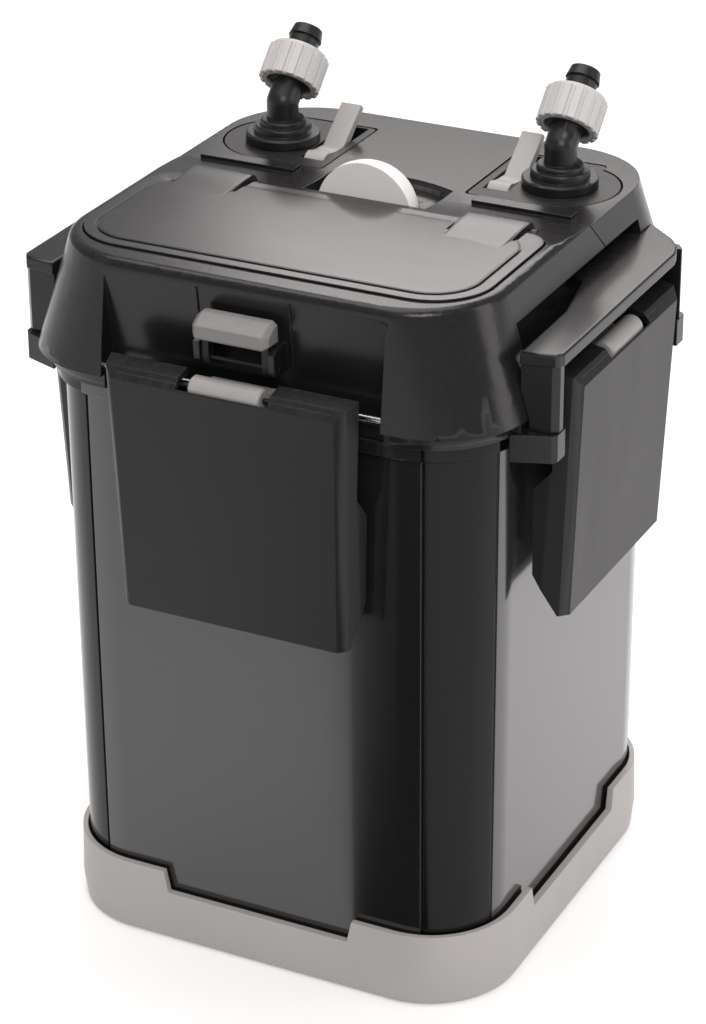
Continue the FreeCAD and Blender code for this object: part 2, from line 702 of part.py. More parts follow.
def make_clip_lever():
    outline = from_axle([(8.2, -0.6), (3.8, 5.2), (-6, clip_top_z - clip_axis_z), (-6, -47)])
    outline += [(clip_deep_v, clip_axis_z - 59), (clip_deep_v, clip_bottom_z + 22.2),
                (clip_axis_v - 3, clip_bottom_z)]
    outline += from_axle([(34.5, clip_bottom_z - clip_axis_z), (34.5, -36.4)])
    shell = clip_loft(0.0).common(side_prism(outline, -90, 90))
    room = clip_loft(clip_wall).common(box(-90, 90, -clip_axis_v - 34, -clip_axis_v + 35,
                                           clip_bottom_z + clip_wall, clip_top_z - 4.2))
    shell = without(shell, [room])
    ribs = []
    for side in (-1, 1):
        x0, x1 = sorted((side * (clip_notch_half + 0.1), side * (clip_notch_half + 5)))
        cheek = from_axle([(6.9, -13), (6.5, -1.5), (2, 3.6), (-5.9, 3.6), (-5.9, -4), (-0.5, -13)])
        ribs.append(side_prism(cheek, x0, x1))
        # Hook: its tip turns in under the rim, the slope above leads it there
        x0, x1 = sorted((side * (hook_u - hook_w / 2), side * (hook_u + hook_w / 2)))
        tip = flange_half + hook_gap
        hook = [(tip + 4.6, flange_z1 - 1), (tip, flange_z0 - 0.4), (tip, flange_z0 - 5.5)]
        hook = from_axle([(6.5, -10), (-4.5, -10)]) + hook + from_axle([(-4.5, -39), (5.5, -39)])
        ribs.append(side_prism(hook, x0, x1))
        x0, x1 = sorted((side * 31.0, side * 33.0))
        ribs.append(side_prism(from_axle([(4, -39), (-5, -39), (-6.1, -108), (1.3, -108)]), x0, x1))
    body = joined([shell] + ribs)
    seat = cylinder(barrel_r + 0.9, V(-clip_notch_half, -clip_axis_v, clip_axis_z),
                    V(clip_notch_half, -clip_axis_v, clip_axis_z))
    notch = box(-clip_notch_half, clip_notch_half, -clip_axis_v - 24, -clip_axis_v + 25,
                clip_axis_z + 0.3, clip_top_z + 9)
    axle = cylinder(clip_axle_r + run_fit, V(-40, -clip_axis_v, clip_axis_z), V(40, -clip_axis_v, clip_axis_z))
    bevel_room = side_prism(from_axle([(7.1, -8), (6.5, -3), (2.1, 2.8), (-7.5, 2.8), (-7.5, -8)]), -58, 58)
    return without(body, [seat, notch, axle, bevel_room.common(room)])


def make_clip_bracket():
    barrel = cylinder(barrel_r, V(-barrel_half, -clip_axis_v, clip_axis_z),
                      V(barrel_half, -clip_axis_v, clip_axis_z))
    ends = [e for e in barrel.Edges if e.Curve.TypeId == "Part::GeomCircle"]
    barrel = barrel.makeChamfer(1.4, ends)
    web = side_prism(from_axle([(0, -4.5), (-9.5, -9.4), (-18.2, -9.7), (-18.2, -1.4), (-8.5, -0.4), (0, 4)]),
                     -barrel_half + 1.5, barrel_half - 1.5)
    rod = cylinder(rod_r + 0.02, V(-30, -rod_v, rod_z), V(30, -rod_v, rod_z))
    axle = cylinder(clip_axle_r + 0.02, V(-30, -clip_axis_v, clip_axis_z), V(30, -clip_axis_v, clip_axis_z))
    return without(joined([barrel, web]), [rod, axle])


def make_clip_rod():
    return cylinder(rod_r, V(-81.5, -rod_v, rod_z), V(81.5, -rod_v, rod_z))


def make_clip_axle():
    end = clip_notch_half + 5
    return cylinder(clip_axle_r, V(-end, -clip_axis_v, clip_axis_z), V(end, -clip_axis_v, clip_axis_z))


# ---- Carrying handles ----

def make_handle():
    bar = plan_prism([(131.5, leg_front_y - 1.5), (149, leg_front_y + 1.5), (bar_outer, leg_front_y + 6),
                      (bar_outer, 60), (149.5, 70), (143, leg_rear_y), (128, 92), (119, 96), (113, 92),
                      (113, 8.5), (118, 8.5), (123.5, 3), (131, -36)], bar_top_z - bar_t, bar_top_z)
    bar = bar.makeFillet(1.4, [e for e in bar.Edges if abs(e.BoundBox.ZMin - bar_top_z) < 0.01
                               and e.BoundBox.XMax > 122 and e.BoundBox.YMin < 85])
    front = plan_prism([(131.6, leg_front_y), (147.5, leg_front_y + 1.5), (150.6, leg_front_y + 4.5),
                        (150.6, leg_front_y + leg_t), (131.6, leg_front_y + leg_t)], leg_seat_z, bar_top_z - 3)
    rear = plan_prism([(134.4, leg_rear_y - leg_t + 3), (150.6, leg_rear_y - leg_t + 3), (150.6, leg_rear_y - 5),
                       (147, leg_rear_y), (134.4, leg_rear_y + 1.5)], leg_seat_z, bar_top_z - 3)
    grown = drafted_block((skirt_half + 0.25, skirt_half + 0.25), (top_half_x + 0.25, top_half_y + 0.25),
                          head_r, skirt_z, top_z)
    grown = grown.fuse(rounded_block(skirt_half + 0.25, skirt_half + 0.25, head_r, skirt_z - 8, skirt_z))
    niche = box(0, 112.6, -niche_half, niche_half, 300, 400)
    flank = without(grown, [turned(side_niche(), 1)])
    body = joined([bar, front, rear])
    return without(body, [flank, niche])


def make_handle_screws(side):
    screws = []
    for y in (leg_front_y + 5.5, leg_rear_y - 2.6):
        shank = cylinder(1.6, V(side * 141, y, arm_low_z + 3.2), V(side * 141, y, leg_seat_z + 10))
        head = cylinder(3.4, V(side * 141, y, arm_low_z + 0.6), V(side * 141, y, arm_low_z + 3.4))
        screws.append(joined([shank, head]))
    return screws


def screw_holes(side):
    holes = []
    for y in (leg_front_y + 5.5, leg_rear_y - 2.6):
        holes.append(cylinder(1.65, V(side * 141, y, arm_low_z - 1), V(side * 141, y, leg_seat_z + 10.2)))
        holes.append(cylinder(3.6, V(side * 141, y, arm_low_z - 1), V(side * 141, y, arm_low_z + 3.5)))
    return holes


# ---- Hose connectors ----

def make_port_block(side):
    body = block_outline(side, 0.0, block_z0, block_top_z)
    cut = [Part.makeCylinder(spigot_r + run_fit, 60, V(side * port_x, port_y, block_z0 - 5))]
    x0, x1 = sorted((side * slot_x0, side * slot_x1))
    cut.append(box(x0, x1, slot_y0, slot_y1, slot_z0, block_top_z + 1))
    x0, x1 = sorted((side * 44.0, side * 64.0))
    cut.append(cylinder(lever_pin_r + 0.02, V(x0, lever_axis_y, lever_axis_z), V(x1, lever_axis_y, lever_axis_z)))
    return without(body, cut)


def along(side, s, across=0.0):
    """Point on the leaning hose axis, s from the bend; across lies square to it, upwards."""
    a = math.radians(lean_deg)
    return V(side * port_x, port_y + s * math.sin(a) - across * math.cos(a),
             bend_z + s * math.cos(a) + across * math.sin(a))


def make_elbow(side):
    x = side * port_x
    parts = [Part.makeCylinder(spigot_r, collar_z[0] - spigot_z0 - 1, V(x, port_y, spigot_z0))]
    low = block_top_z + 0.3
    for r, z in zip(collar_r, collar_z):
        ring = Part.makeCylinder(r, z - low, V(x, port_y, low))
        rim = [e for e in ring.Edges if abs(e.BoundBox.ZMin - z) < 0.01]
        parts.append(ring.makeChamfer(1.0, rim))
        low = z - 0.01
    parts.append(cylinder(pipe_r, V(x, port_y, 400), V(x, port_y, bend_z)))
    parts.append(Part.makeSphere(pipe_r, V(x, port_y, bend_z)))
    parts.append(cylinder(pipe_r, V(x, port_y, bend_z), along(side, thread_s1)))
    parts.append(cylinder(thread_r, along(side, thread_s0), along(side, thread_s1)))
    body = joined(parts)
    past = bore_r * math.tan(math.radians(lean_deg) / 2)
    bores = [cylinder(bore_r, V(x, port_y, spigot_z0 - 1), V(x, port_y, bend_z + past)),
             cylinder(bore_r, along(side, -past), along(side, thread_s1 + 1))]
    return without(body, bores)


def make_hose_tail(side):
    parts = [cylinder(tail_foot_r, along(side, tail_s0), along(side, tail_s0 + 3)),
             cylinder(tail_r, along(side, tail_s0), along(side, 37.5)),
             cylinder(tail_r - 0.8, along(side, 37), along(side, 39))]
    way = along(side, 1) - along(side, 0)
    parts.append(Part.makeCone(tail_r + 0.9, tail_r - 0.3, tail_end_s - 38.5, along(side, 38.5), way))
    return without(joined(parts), [cylinder(bore_r, along(side, tail_s0 - 1), along(side, tail_end_s + 1))])


def make_nut(side):
    way = along(side, 1) - along(side, 0)
    body = cylinder(nut_r, along(side, nut_s0), along(side, nut_s1 - 2.2))
    top = Part.makeCone(nut_r, nut_r - 2.6, 2.2, along(side, nut_s1 - 2.2), way)
    body = joined([body, top])
    cut = [cylinder(thread_r + 0.5, along(side, nut_s0 - 1), along(side, tail_s0 + 3.3)),
           cylinder(13.6, along(side, nut_s0 - 1), along(side, nut_s0 + 2.5)),
           cylinder(tail_r + 0.5, along(side, nut_s0), along(side, nut_s1 + 1)),
           cylinder(tail_foot_r + 0.4, along(side, nut_s0), along(side, tail_s0 + 3.4))]
    flute = box(nut_r - flute_depth, nut_r + 2, -flute_w / 2, flute_w / 2, -30, 30)
    for i in range(nut_flutes):
        groove = flute.copy()
        groove.rotate(V(0, 0, 0), V(0, 0, 1), 360.0 * i / nut_flutes)
        groove.rotate(V(0, 0, 0), V(1, 0, 0), -lean_deg)
        groove.translate(along(side, (nut_s0 + nut_s1) / 2))
        cut.append(groove)
    return without(body, cut)


def make_lock_lever(side):
    def yz(points, x0, x1):
        wire = Part.makePolygon([V(x0, y, z) for y, z in points + points[:1]])
        return Part.Face(wire).extrude(V(x1 - x0, 0, 0))
    x0, x1 = sorted((side * lever_x0, side * lever_x1))
    hub = cylinder(lever_hub_r, V(x0, lever_axis_y, lever_axis_z), V(x1, lever_axis_y, lever_axis_z))
    blade = yz([(58, 393.3), (67, 391.6), (76, 391), (98.6, 408.2), (101.2, 405.4), (79.5, 387),
                (70, 384), (60, 381)], x0, x1)
    bore = cylinder(lever_pin_r + run_fit, V(-90, lever_axis_y, lever_axis_z), V(90, lever_axis_y, lever_axis_z))
    return without(joined([hub, blade]), [bore])


def make_lock_pin(side):
    x0, x1 = sorted((side * 44.2, side * 63.8))
    return cylinder(lever_pin_r, V(x0, lever_axis_y, lever_axis_z), V(x1, lever_axis_y, lever_axis_z))


# ---- Primer ----

def make_primer():
    dome = Part.makeSphere(primer_r, V(0, primer_y, primer_z))
    reach = 2 * primer_r
    dome = dome.common(box(-reach, reach, -reach, primer_y + reach, primer_z, primer_z + reach))
    barrel = Part.makeCylinder(primer_r, primer_z - primer_low_z, V(0, primer_y, primer_low_z))
    body = joined([dome, barrel]).common(box(-reach, reach, primer_face_y, primer_y + reach,
                                             primer_low_z, primer_z + reach))
    hollow = Part.makeCylinder(primer_r - 9, primer_z - primer_low_z + 4, V(0, primer_y + 6, primer_low_z - 1))
    seat = hollow.common(box(-reach, reach, primer_face_y + 3.5, primer_y + reach,
                             primer_low_z - 2, primer_z + reach))
    return without(body, [seat])


def make_primer_spring():
    low, high = well_floor_z + spring_wire + 0.1, primer_z + 2.2 - spring_wire
    steps = spring_turns * spring_steps
    sections = []
    for i in range(steps + 1):
        turn = 2 * math.pi * i / spring_steps
        z = low + (high - low) * i / steps
        ring = []
        for k in (0, 1, 2, 3, 0):
            out = spring_r + spring_wire * math.cos(k * math.pi / 2)
            ring.append(V(out * math.cos(turn), spring_y + out * math.sin(turn),
                          z + spring_wire * math.sin(k * math.pi / 2)))
        sections.append(Part.makePolygon(ring))
    return loft(sections)


# ---- Underside and pump ----

def make_underplate():
    block = rounded_block(plug_half, plug_half, plug_r, plug_z0, plug_z1)
    room = rounded_block(plug_half - plug_wall, plug_half - plug_wall, plug_r - plug_wall,
                         plug_z0 + plug_wall, plug_z1 + 1)
    groove = rounded_block(plug_half + 5, plug_half + 5, plug_r + 5, seal_z0 - 0.2, seal_z1 + 0.2).cut(
        rounded_block(plug_half - seal_seat, plug_half - seal_seat, plug_r - seal_seat, seal_z0 - 1, seal_z1 + 1))
    volute = Part.makeCylinder(volute_r, plug_z0 - volute_z0 + 0.5, V(0, pump_y, volute_z0))
    inside = Part.makeCylinder(volute_r - volute_wall, plug_z0 - volute_z0, V(0, pump_y, volute_z0 - 1))
    rotor_hole = Part.makeCylinder(rotor_r + rotor_gap + 0.6, 20, V(0, pump_y, plug_z0 - 3))
    riser_hole = Part.makeCylinder(riser_r + 0.6, 20, V(0, riser_y, plug_z0 - 5))
    return without(joined([without(block, [room, groove]), volute]), [inside, rotor_hole, riser_hole])


def make_head_seal():
    out = rounded_block(seal_half, seal_half, seal_r, seal_z0, seal_z1)
    inner, inner_r = plug_half - seal_seat + 0.1, plug_r - seal_seat + 0.1
    return without(out, [rounded_block(inner, inner, inner_r, seal_z0 - 1, seal_z1 + 1)])


def make_motor_pot():
    low = plug_z0 + plug_wall + 0.2
    pot = Part.makeCylinder(pot_r, pot_z1 - low, V(0, pump_y, low))
    well = Part.makeCylinder(rotor_r + rotor_gap, rotor_top_z + 0.6 - low + 1, V(0, pump_y, low - 1))
    return without(pot, [well, cylinder(shaft_r + 0.02, V(0, pump_y, low), V(0, pump_y, pot_z1 - 0.4))])


def make_shaft():
    return cylinder(shaft_r, V(0, pump_y, volute_z0 - pump_cover_t + 0.2), V(0, pump_y, pot_z1 - 0.6))


def make_impeller():
    magnet = Part.makeCylinder(rotor_r, rotor_top_z - vane_z1 + 0.5, V(0, pump_y, vane_z1 - 0.5))
    disc = Part.makeCylinder(vane_r, 1.4, V(0, pump_y, vane_z1 - 1.4))
    parts = [magnet, disc, Part.makeCylinder(5, vane_z1 - vane_z0, V(0, pump_y, vane_z0))]
    for i in range(vanes):
        vane = box(3, vane_r, pump_y - vane_t / 2, pump_y + vane_t / 2, vane_z0, vane_z1)
        vane.rotate(V(0, pump_y, 0), V(0, 0, 1), 360.0 * i / vanes)
        parts.append(vane)
    body = joined(parts).common(Part.makeCylinder(vane_r, 80, V(0, pump_y, vane_z0)))
    return without(body, [Part.makeCylinder(shaft_r + run_fit, 80, V(0, pump_y, 290))])


def make_pump_cover():
    z0 = volute_z0 - pump_cover_t
    disc = Part.makeCylinder(volute_r, pump_cover_t - 0.1, V(0, pump_y, z0))
    eye = Part.makeCylinder(eye_r, 10, V(0, pump_y, z0 - 1))
    spider = [box(-eye_r - 1, eye_r + 1, pump_y - 1.3, pump_y + 1.3, z0, z0 + pump_cover_t - 0.1),
              box(-1.3, 1.3, pump_y - eye_r - 1, pump_y + eye_r + 1, z0, z0 + pump_cover_t - 0.1),
              Part.makeCylinder(3.2, pump_cover_t - 0.1, V(0, pump_y, z0))]
    body = joined([without(disc, [eye])] + spider)
    return without(body, [Part.makeCylinder(shaft_r + 0.02, 10, V(0, pump_y, z0 + 0.1))])


def make_gland():
    def on_axis(y):
        return V(gland_x, y, gland_z)
    face = gland_seat_y + 0.1
    sleeve = cylinder(gland_r, on_axis(cavity_y1 + 1.5), on_axis(face + 1))
    flange = cylinder(gland_flange_r, on_axis(face), on_axis(face + 2.4))
    neck = Part.makeCone(6.0, 4.4, 9, on_axis(face + 2.4), V(0, 1, 0))
    bore = cylinder(gland_bore_r, on_axis(cavity_y1), on_axis(face + 12))
    return without(joined([sleeve, flange, neck]), [bore])


def main():
    os.makedirs("parts", exist_ok=True)
    save("base_foot", make_base())
    save_group("foot_pads", make_pads())
    save("canister", make_tank())
    for level, name, height in ((0, "lower", 62), (1, "middle", 70), (2, "upper", 74)):
        save("basket_" + name, make_basket(level))
        save("media_" + name, make_media(level, height))
    save("riser_tube", make_riser())

    save("head_housing", without(make_head(), screw_holes(-1) + screw_holes(1)))
    save("head_underplate", make_underplate())
    save("head_seal", make_head_seal())
    save("cable_gland", make_gland())
    save("front_cover", make_cover())
    save("cover_seal", make_cover_seal())
    save_group("cover_hinge_pins", make_hinge_pins())
    save("cover_latch", make_latch())
    save("latch_pin", make_latch_pin())
    save("prefilter_basket", make_prefilter_basket())
    save("prefilter_sponge", make_prefilter_sponge())

    lever, bracket = make_clip_lever(), make_clip_bracket()
    for quarter, name in enumerate(("front", "right", "back", "left")):
        save("clip_lever_" + name, turned(lever, quarter))
        save("clip_bracket_" + name, turned(bracket, quarter))
        save("clip_axle_" + name, turned(make_clip_axle(), quarter))
    save_group("clip_rods", [turned(make_clip_rod(), q) for q in range(4)])

    handle = make_handle()
    save("handle_right", without(handle, screw_holes(1)))
    save("handle_left", without(mirrored(handle), screw_holes(-1)))
    save_group("handle_screws", make_handle_screws(1) + make_handle_screws(-1))

    for side, name in ((-1, "inlet"), (1, "outlet")):
        save(name + "_block", make_port_block(side))
        save(name + "_elbow", make_elbow(side))
        save(name + "_hose_tail", make_hose_tail(side))
        save(name + "_nut", make_nut(side))
        save(name + "_lock_lever", make_lock_lever(side))
    save_group("lock_lever_pins", [make_lock_pin(-1), make_lock_pin(1)])

    save("primer_button", make_primer())
    save("primer_spring", make_primer_spring())
    save("motor_pot", make_motor_pot())
    save("rotor_shaft", make_shaft())
    save("impeller", make_impeller())
    save("pump_cover", make_pump_cover())


main()
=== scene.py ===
import bpy, bmesh, json, math
from mathutils import Vector, Matrix


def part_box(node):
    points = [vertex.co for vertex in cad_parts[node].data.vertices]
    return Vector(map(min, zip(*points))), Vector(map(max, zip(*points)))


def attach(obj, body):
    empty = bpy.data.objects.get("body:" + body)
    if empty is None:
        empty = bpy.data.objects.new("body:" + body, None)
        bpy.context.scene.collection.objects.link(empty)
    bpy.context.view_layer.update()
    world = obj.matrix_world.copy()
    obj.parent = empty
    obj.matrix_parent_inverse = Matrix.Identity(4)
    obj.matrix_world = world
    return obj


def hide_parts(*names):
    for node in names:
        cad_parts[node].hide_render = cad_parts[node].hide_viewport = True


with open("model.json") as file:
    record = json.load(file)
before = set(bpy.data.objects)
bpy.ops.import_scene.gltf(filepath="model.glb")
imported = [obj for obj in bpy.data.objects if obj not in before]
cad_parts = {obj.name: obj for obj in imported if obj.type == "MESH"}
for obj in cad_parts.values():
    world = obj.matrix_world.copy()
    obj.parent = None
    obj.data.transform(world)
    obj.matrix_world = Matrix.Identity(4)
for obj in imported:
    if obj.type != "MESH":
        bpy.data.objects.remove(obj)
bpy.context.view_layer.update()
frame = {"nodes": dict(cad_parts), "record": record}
nodes = frame["nodes"]
bodyOf = {n: b for b, members in frame["record"]["behaviour"]["bodies"].items() for n in members}
slotOf = {s["node"]: s["material_slot"] for s in frame["record"]["subparts"]}
made = set()


# small helpers for node trees
def addTo(tree, kind, x=0, y=0, **values):
    node = tree.nodes.new(kind)
    node.location = (x, y)
    for key, value in values.items():
        if hasattr(node, key):
            setattr(node, key, value)
        else:
            node.inputs[key.replace("_", " ")].default_value = value
    return node


def mathNode(tree, operation, a, b=None, x=0, y=0, clamp=False):
    node = addTo(tree, "ShaderNodeMath", x, y, operation=operation, use_clamp=clamp)
    for slot, value in ((0, a), (1, b)):
        if value is None:
            continue
        if isinstance(value, (int, float)):
            node.inputs[slot].default_value = value
        else:
            tree.links.new(value, node.inputs[slot])
    return node.outputs[0]


def mixColour(tree, amount, a, b, x, y):
    node = addTo(tree, "ShaderNodeMix", x, y, data_type="RGBA")
    for slot, value in ((0, amount), (6, a), (7, b)):
        if isinstance(value, (tuple, list)):
            node.inputs[slot].default_value = (*value, 1.0)
        elif isinstance(value, (int, float)):
            node.inputs[slot].default_value = value
        else:
            tree.links.new(value, node.inputs[slot])
    return node.outputs[2]


def shaderGroup(name, inputs, outputs):
    tree = bpy.data.node_groups.new(name, "ShaderNodeTree")
    for label, kind, value in inputs:
        socket = tree.interface.new_socket(label, in_out="INPUT", socket_type=kind)
        if value is not None:
            socket.default_value = value
    for label, kind in outputs:
        tree.interface.new_socket(label, in_out="OUTPUT", socket_type=kind)
    return tree, addTo(tree, "NodeGroupInput", -900, 0), addTo(tree, "NodeGroupOutput", 900, 0)


def useGroup(tree, group, x, y, **values):
    node = addTo(tree, "ShaderNodeGroup", x, y)
    node.node_tree = group
    for key, value in values.items():
        node.inputs[key.replace("_", " ")].default_value = value
    return node


def newMaterial(name):
    mat = bpy.data.materials.new(name)
    mat.use_nodes = True
    return mat, mat.node_tree, mat.node_tree.nodes["Principled BSDF"]


# small helpers for meshes
def linked(name, data):
    obj = bpy.data.objects.new(name, data)
    bpy.context.scene.collection.objects.link(obj)
    return obj


def finished(work, name):
    mesh = bpy.data.meshes.new(name)
    work.to_mesh(mesh)
    work.free()
    return mesh


def evaluated(carrier):
    # the carrier's mesh after its modifiers; the carrier goes
    done = bpy.data.meshes.new_from_object(carrier.evaluated_get(bpy.context.evaluated_depsgraph_get()))
    bpy.data.objects.remove(carrier)
    return done


def addBevel(obj, width, segments, angle):
    soft = obj.modifiers.new("softEdge", "BEVEL")
    soft.width, soft.segments = width, segments
    soft.limit_method, soft.angle_limit = "ANGLE", math.radians(angle)


edgeLook = dict(radius=0.0008, samples=4, gain=5.0)


def makeSoftEdge(c):
    # rounds hard moulded edges in the shading and gives a mask of them; the finishes use that mask for edge
    # wear and a painted edge highlight
    tree, src, out = shaderGroup(
        "softEdge",
        [("Radius", "NodeSocketFloat", c["radius"]), ("Normal", "NodeSocketVector", None)],
        [("Normal", "NodeSocketVector"), ("Edge", "NodeSocketFloat")])
    bevel = addTo(tree, "ShaderNodeBevel", -500, 200, samples=c["samples"])
    tree.links.new(src.outputs["Radius"], bevel.inputs["Radius"])
    tree.links.new(src.outputs["Normal"], bevel.inputs["Normal"])
    plain = addTo(tree, "ShaderNodeNewGeometry", -500, -100)
    dot = addTo(tree, "ShaderNodeVectorMath", -250, 0, operation="DOT_PRODUCT")
    tree.links.new(bevel.outputs[0], dot.inputs[0])
    tree.links.new(plain.outputs["Normal"], dot.inputs[1])
    bent = mathNode(tree, "SUBTRACT", 1.0, dot.outputs["Value"], 0, 0)
    tree.links.new(bevel.outputs[0], out.inputs["Normal"])
    tree.links.new(mathNode(tree, "MULTIPLY", bent, c["gain"], 200, 0, True), out.inputs["Edge"])
    return tree


grainLook = dict(scale=900.0, cloudScale=9.0, fineShare=0.7, pitShare=0.5, speckFrom=0.66)


def makeMouldGrain(c):
    # spark-eroded mould texture: fine height, and a broad cloud of wear
    tree, src, out = shaderGroup(
        "mouldGrain",
        [("Scale", "NodeSocketFloat", c["scale"]), ("Cloud Scale", "NodeSocketFloat", c["cloudScale"])],
        [("Height", "NodeSocketFloat"), ("Cloud", "NodeSocketFloat"), ("Speck", "NodeSocketFloat")])
    where = addTo(tree, "ShaderNodeTexCoord", -900, -250)
    fine = addTo(tree, "ShaderNodeTexNoise", -500, 300, Detail=3.0, Roughness=0.62)
    pits = addTo(tree, "ShaderNodeTexVoronoi", -500, 50)
    cloud = addTo(tree, "ShaderNodeTexNoise", -500, -200, Detail=5.0, Roughness=0.55)
    for node, label in ((fine, "Scale"), (pits, "Scale"), (cloud, "Cloud Scale")):
        tree.links.new(where.outputs["Object"], node.inputs["Vector"])
        tree.links.new(src.outputs[label], node.inputs["Scale"])
    height = mathNode(tree, "ADD", mathNode(tree, "MULTIPLY", fine.outputs["Fac"], c["fineShare"], -200, 300),
                      mathNode(tree, "MULTIPLY", pits.outputs["Distance"], c["pitShare"], -200, 50), 100, 200)
    speck = mathNode(tree, "GREATER_THAN", fine.outputs["Fac"], c["speckFrom"], 100, -50)
    tree.links.new(height, out.inputs["Height"])
    tree.links.new(cloud.outputs["Fac"], out.inputs["Cloud"])
    tree.links.new(speck, out.inputs["Speck"])
    return tree


handlingLook = dict(wipeScale=14.0, dust=0.2, turn=(0.3, 0.5, 0.9), stretch=(1.0, 5.0, 1.0),
                    dotScale=260.0, dotFrom=0.45, dotGain=3.0)


def makeHandling(c):
    # faint wipes, and dust that settles on upward faces
    tree, src, out = shaderGroup(
        "handling",
        [("Wipe Scale", "NodeSocketFloat", c["wipeScale"]), ("Dust", "NodeSocketFloat", c["dust"])],
        [("Wipe", "NodeSocketFloat"), ("Dust", "NodeSocketFloat")])
    where = addTo(tree, "ShaderNodeTexCoord", -900, -250)
    turn = addTo(tree, "ShaderNodeMapping", -700, -250)
    turn.inputs["Rotation"].default_value = c["turn"]
    turn.inputs["Scale"].default_value = c["stretch"]
    tree.links.new(where.outputs["Object"], turn.inputs["Vector"])
    streak = addTo(tree, "ShaderNodeTexNoise", -450, 100, Detail=6.0, Roughness=0.7)
    tree.links.new(turn.outputs[0], streak.inputs["Vector"])
    tree.links.new(src.outputs["Wipe Scale"], streak.inputs["Scale"])
    dots = addTo(tree, "ShaderNodeTexNoise", -450, -150, Scale=c["dotScale"], Detail=4.0, Roughness=0.8)
    tree.links.new(where.outputs["Object"], dots.inputs["Vector"])
    face = addTo(tree, "ShaderNodeNewGeometry", -450, -400)
    split = addTo(tree, "ShaderNodeSeparateXYZ", -250, -400)
    tree.links.new(face.outputs["Normal"], split.inputs[0])
    upward = mathNode(tree, "MAXIMUM", split.outputs["Z"], 0.0, 0, -400)
    settle = mathNode(tree, "MULTIPLY", upward, src.outputs["Dust"], 200, -400)
    spotted = mathNode(tree, "SUBTRACT", dots.outputs["Fac"], c["dotFrom"], 0, -150)
    patch = mathNode(tree, "MULTIPLY", spotted, c["dotGain"], 200, -150, True)
    tree.links.new(streak.outputs["Fac"], out.inputs["Wipe"])
    tree.links.new(mathNode(tree, "MULTIPLY", settle, patch, 400, -300, True), out.inputs["Dust"])
    return tree


softEdge, mouldGrain, handling = makeSoftEdge(edgeLook), makeMouldGrain(grainLook), makeHandling(handlingLook)
print("stage: shader groups")

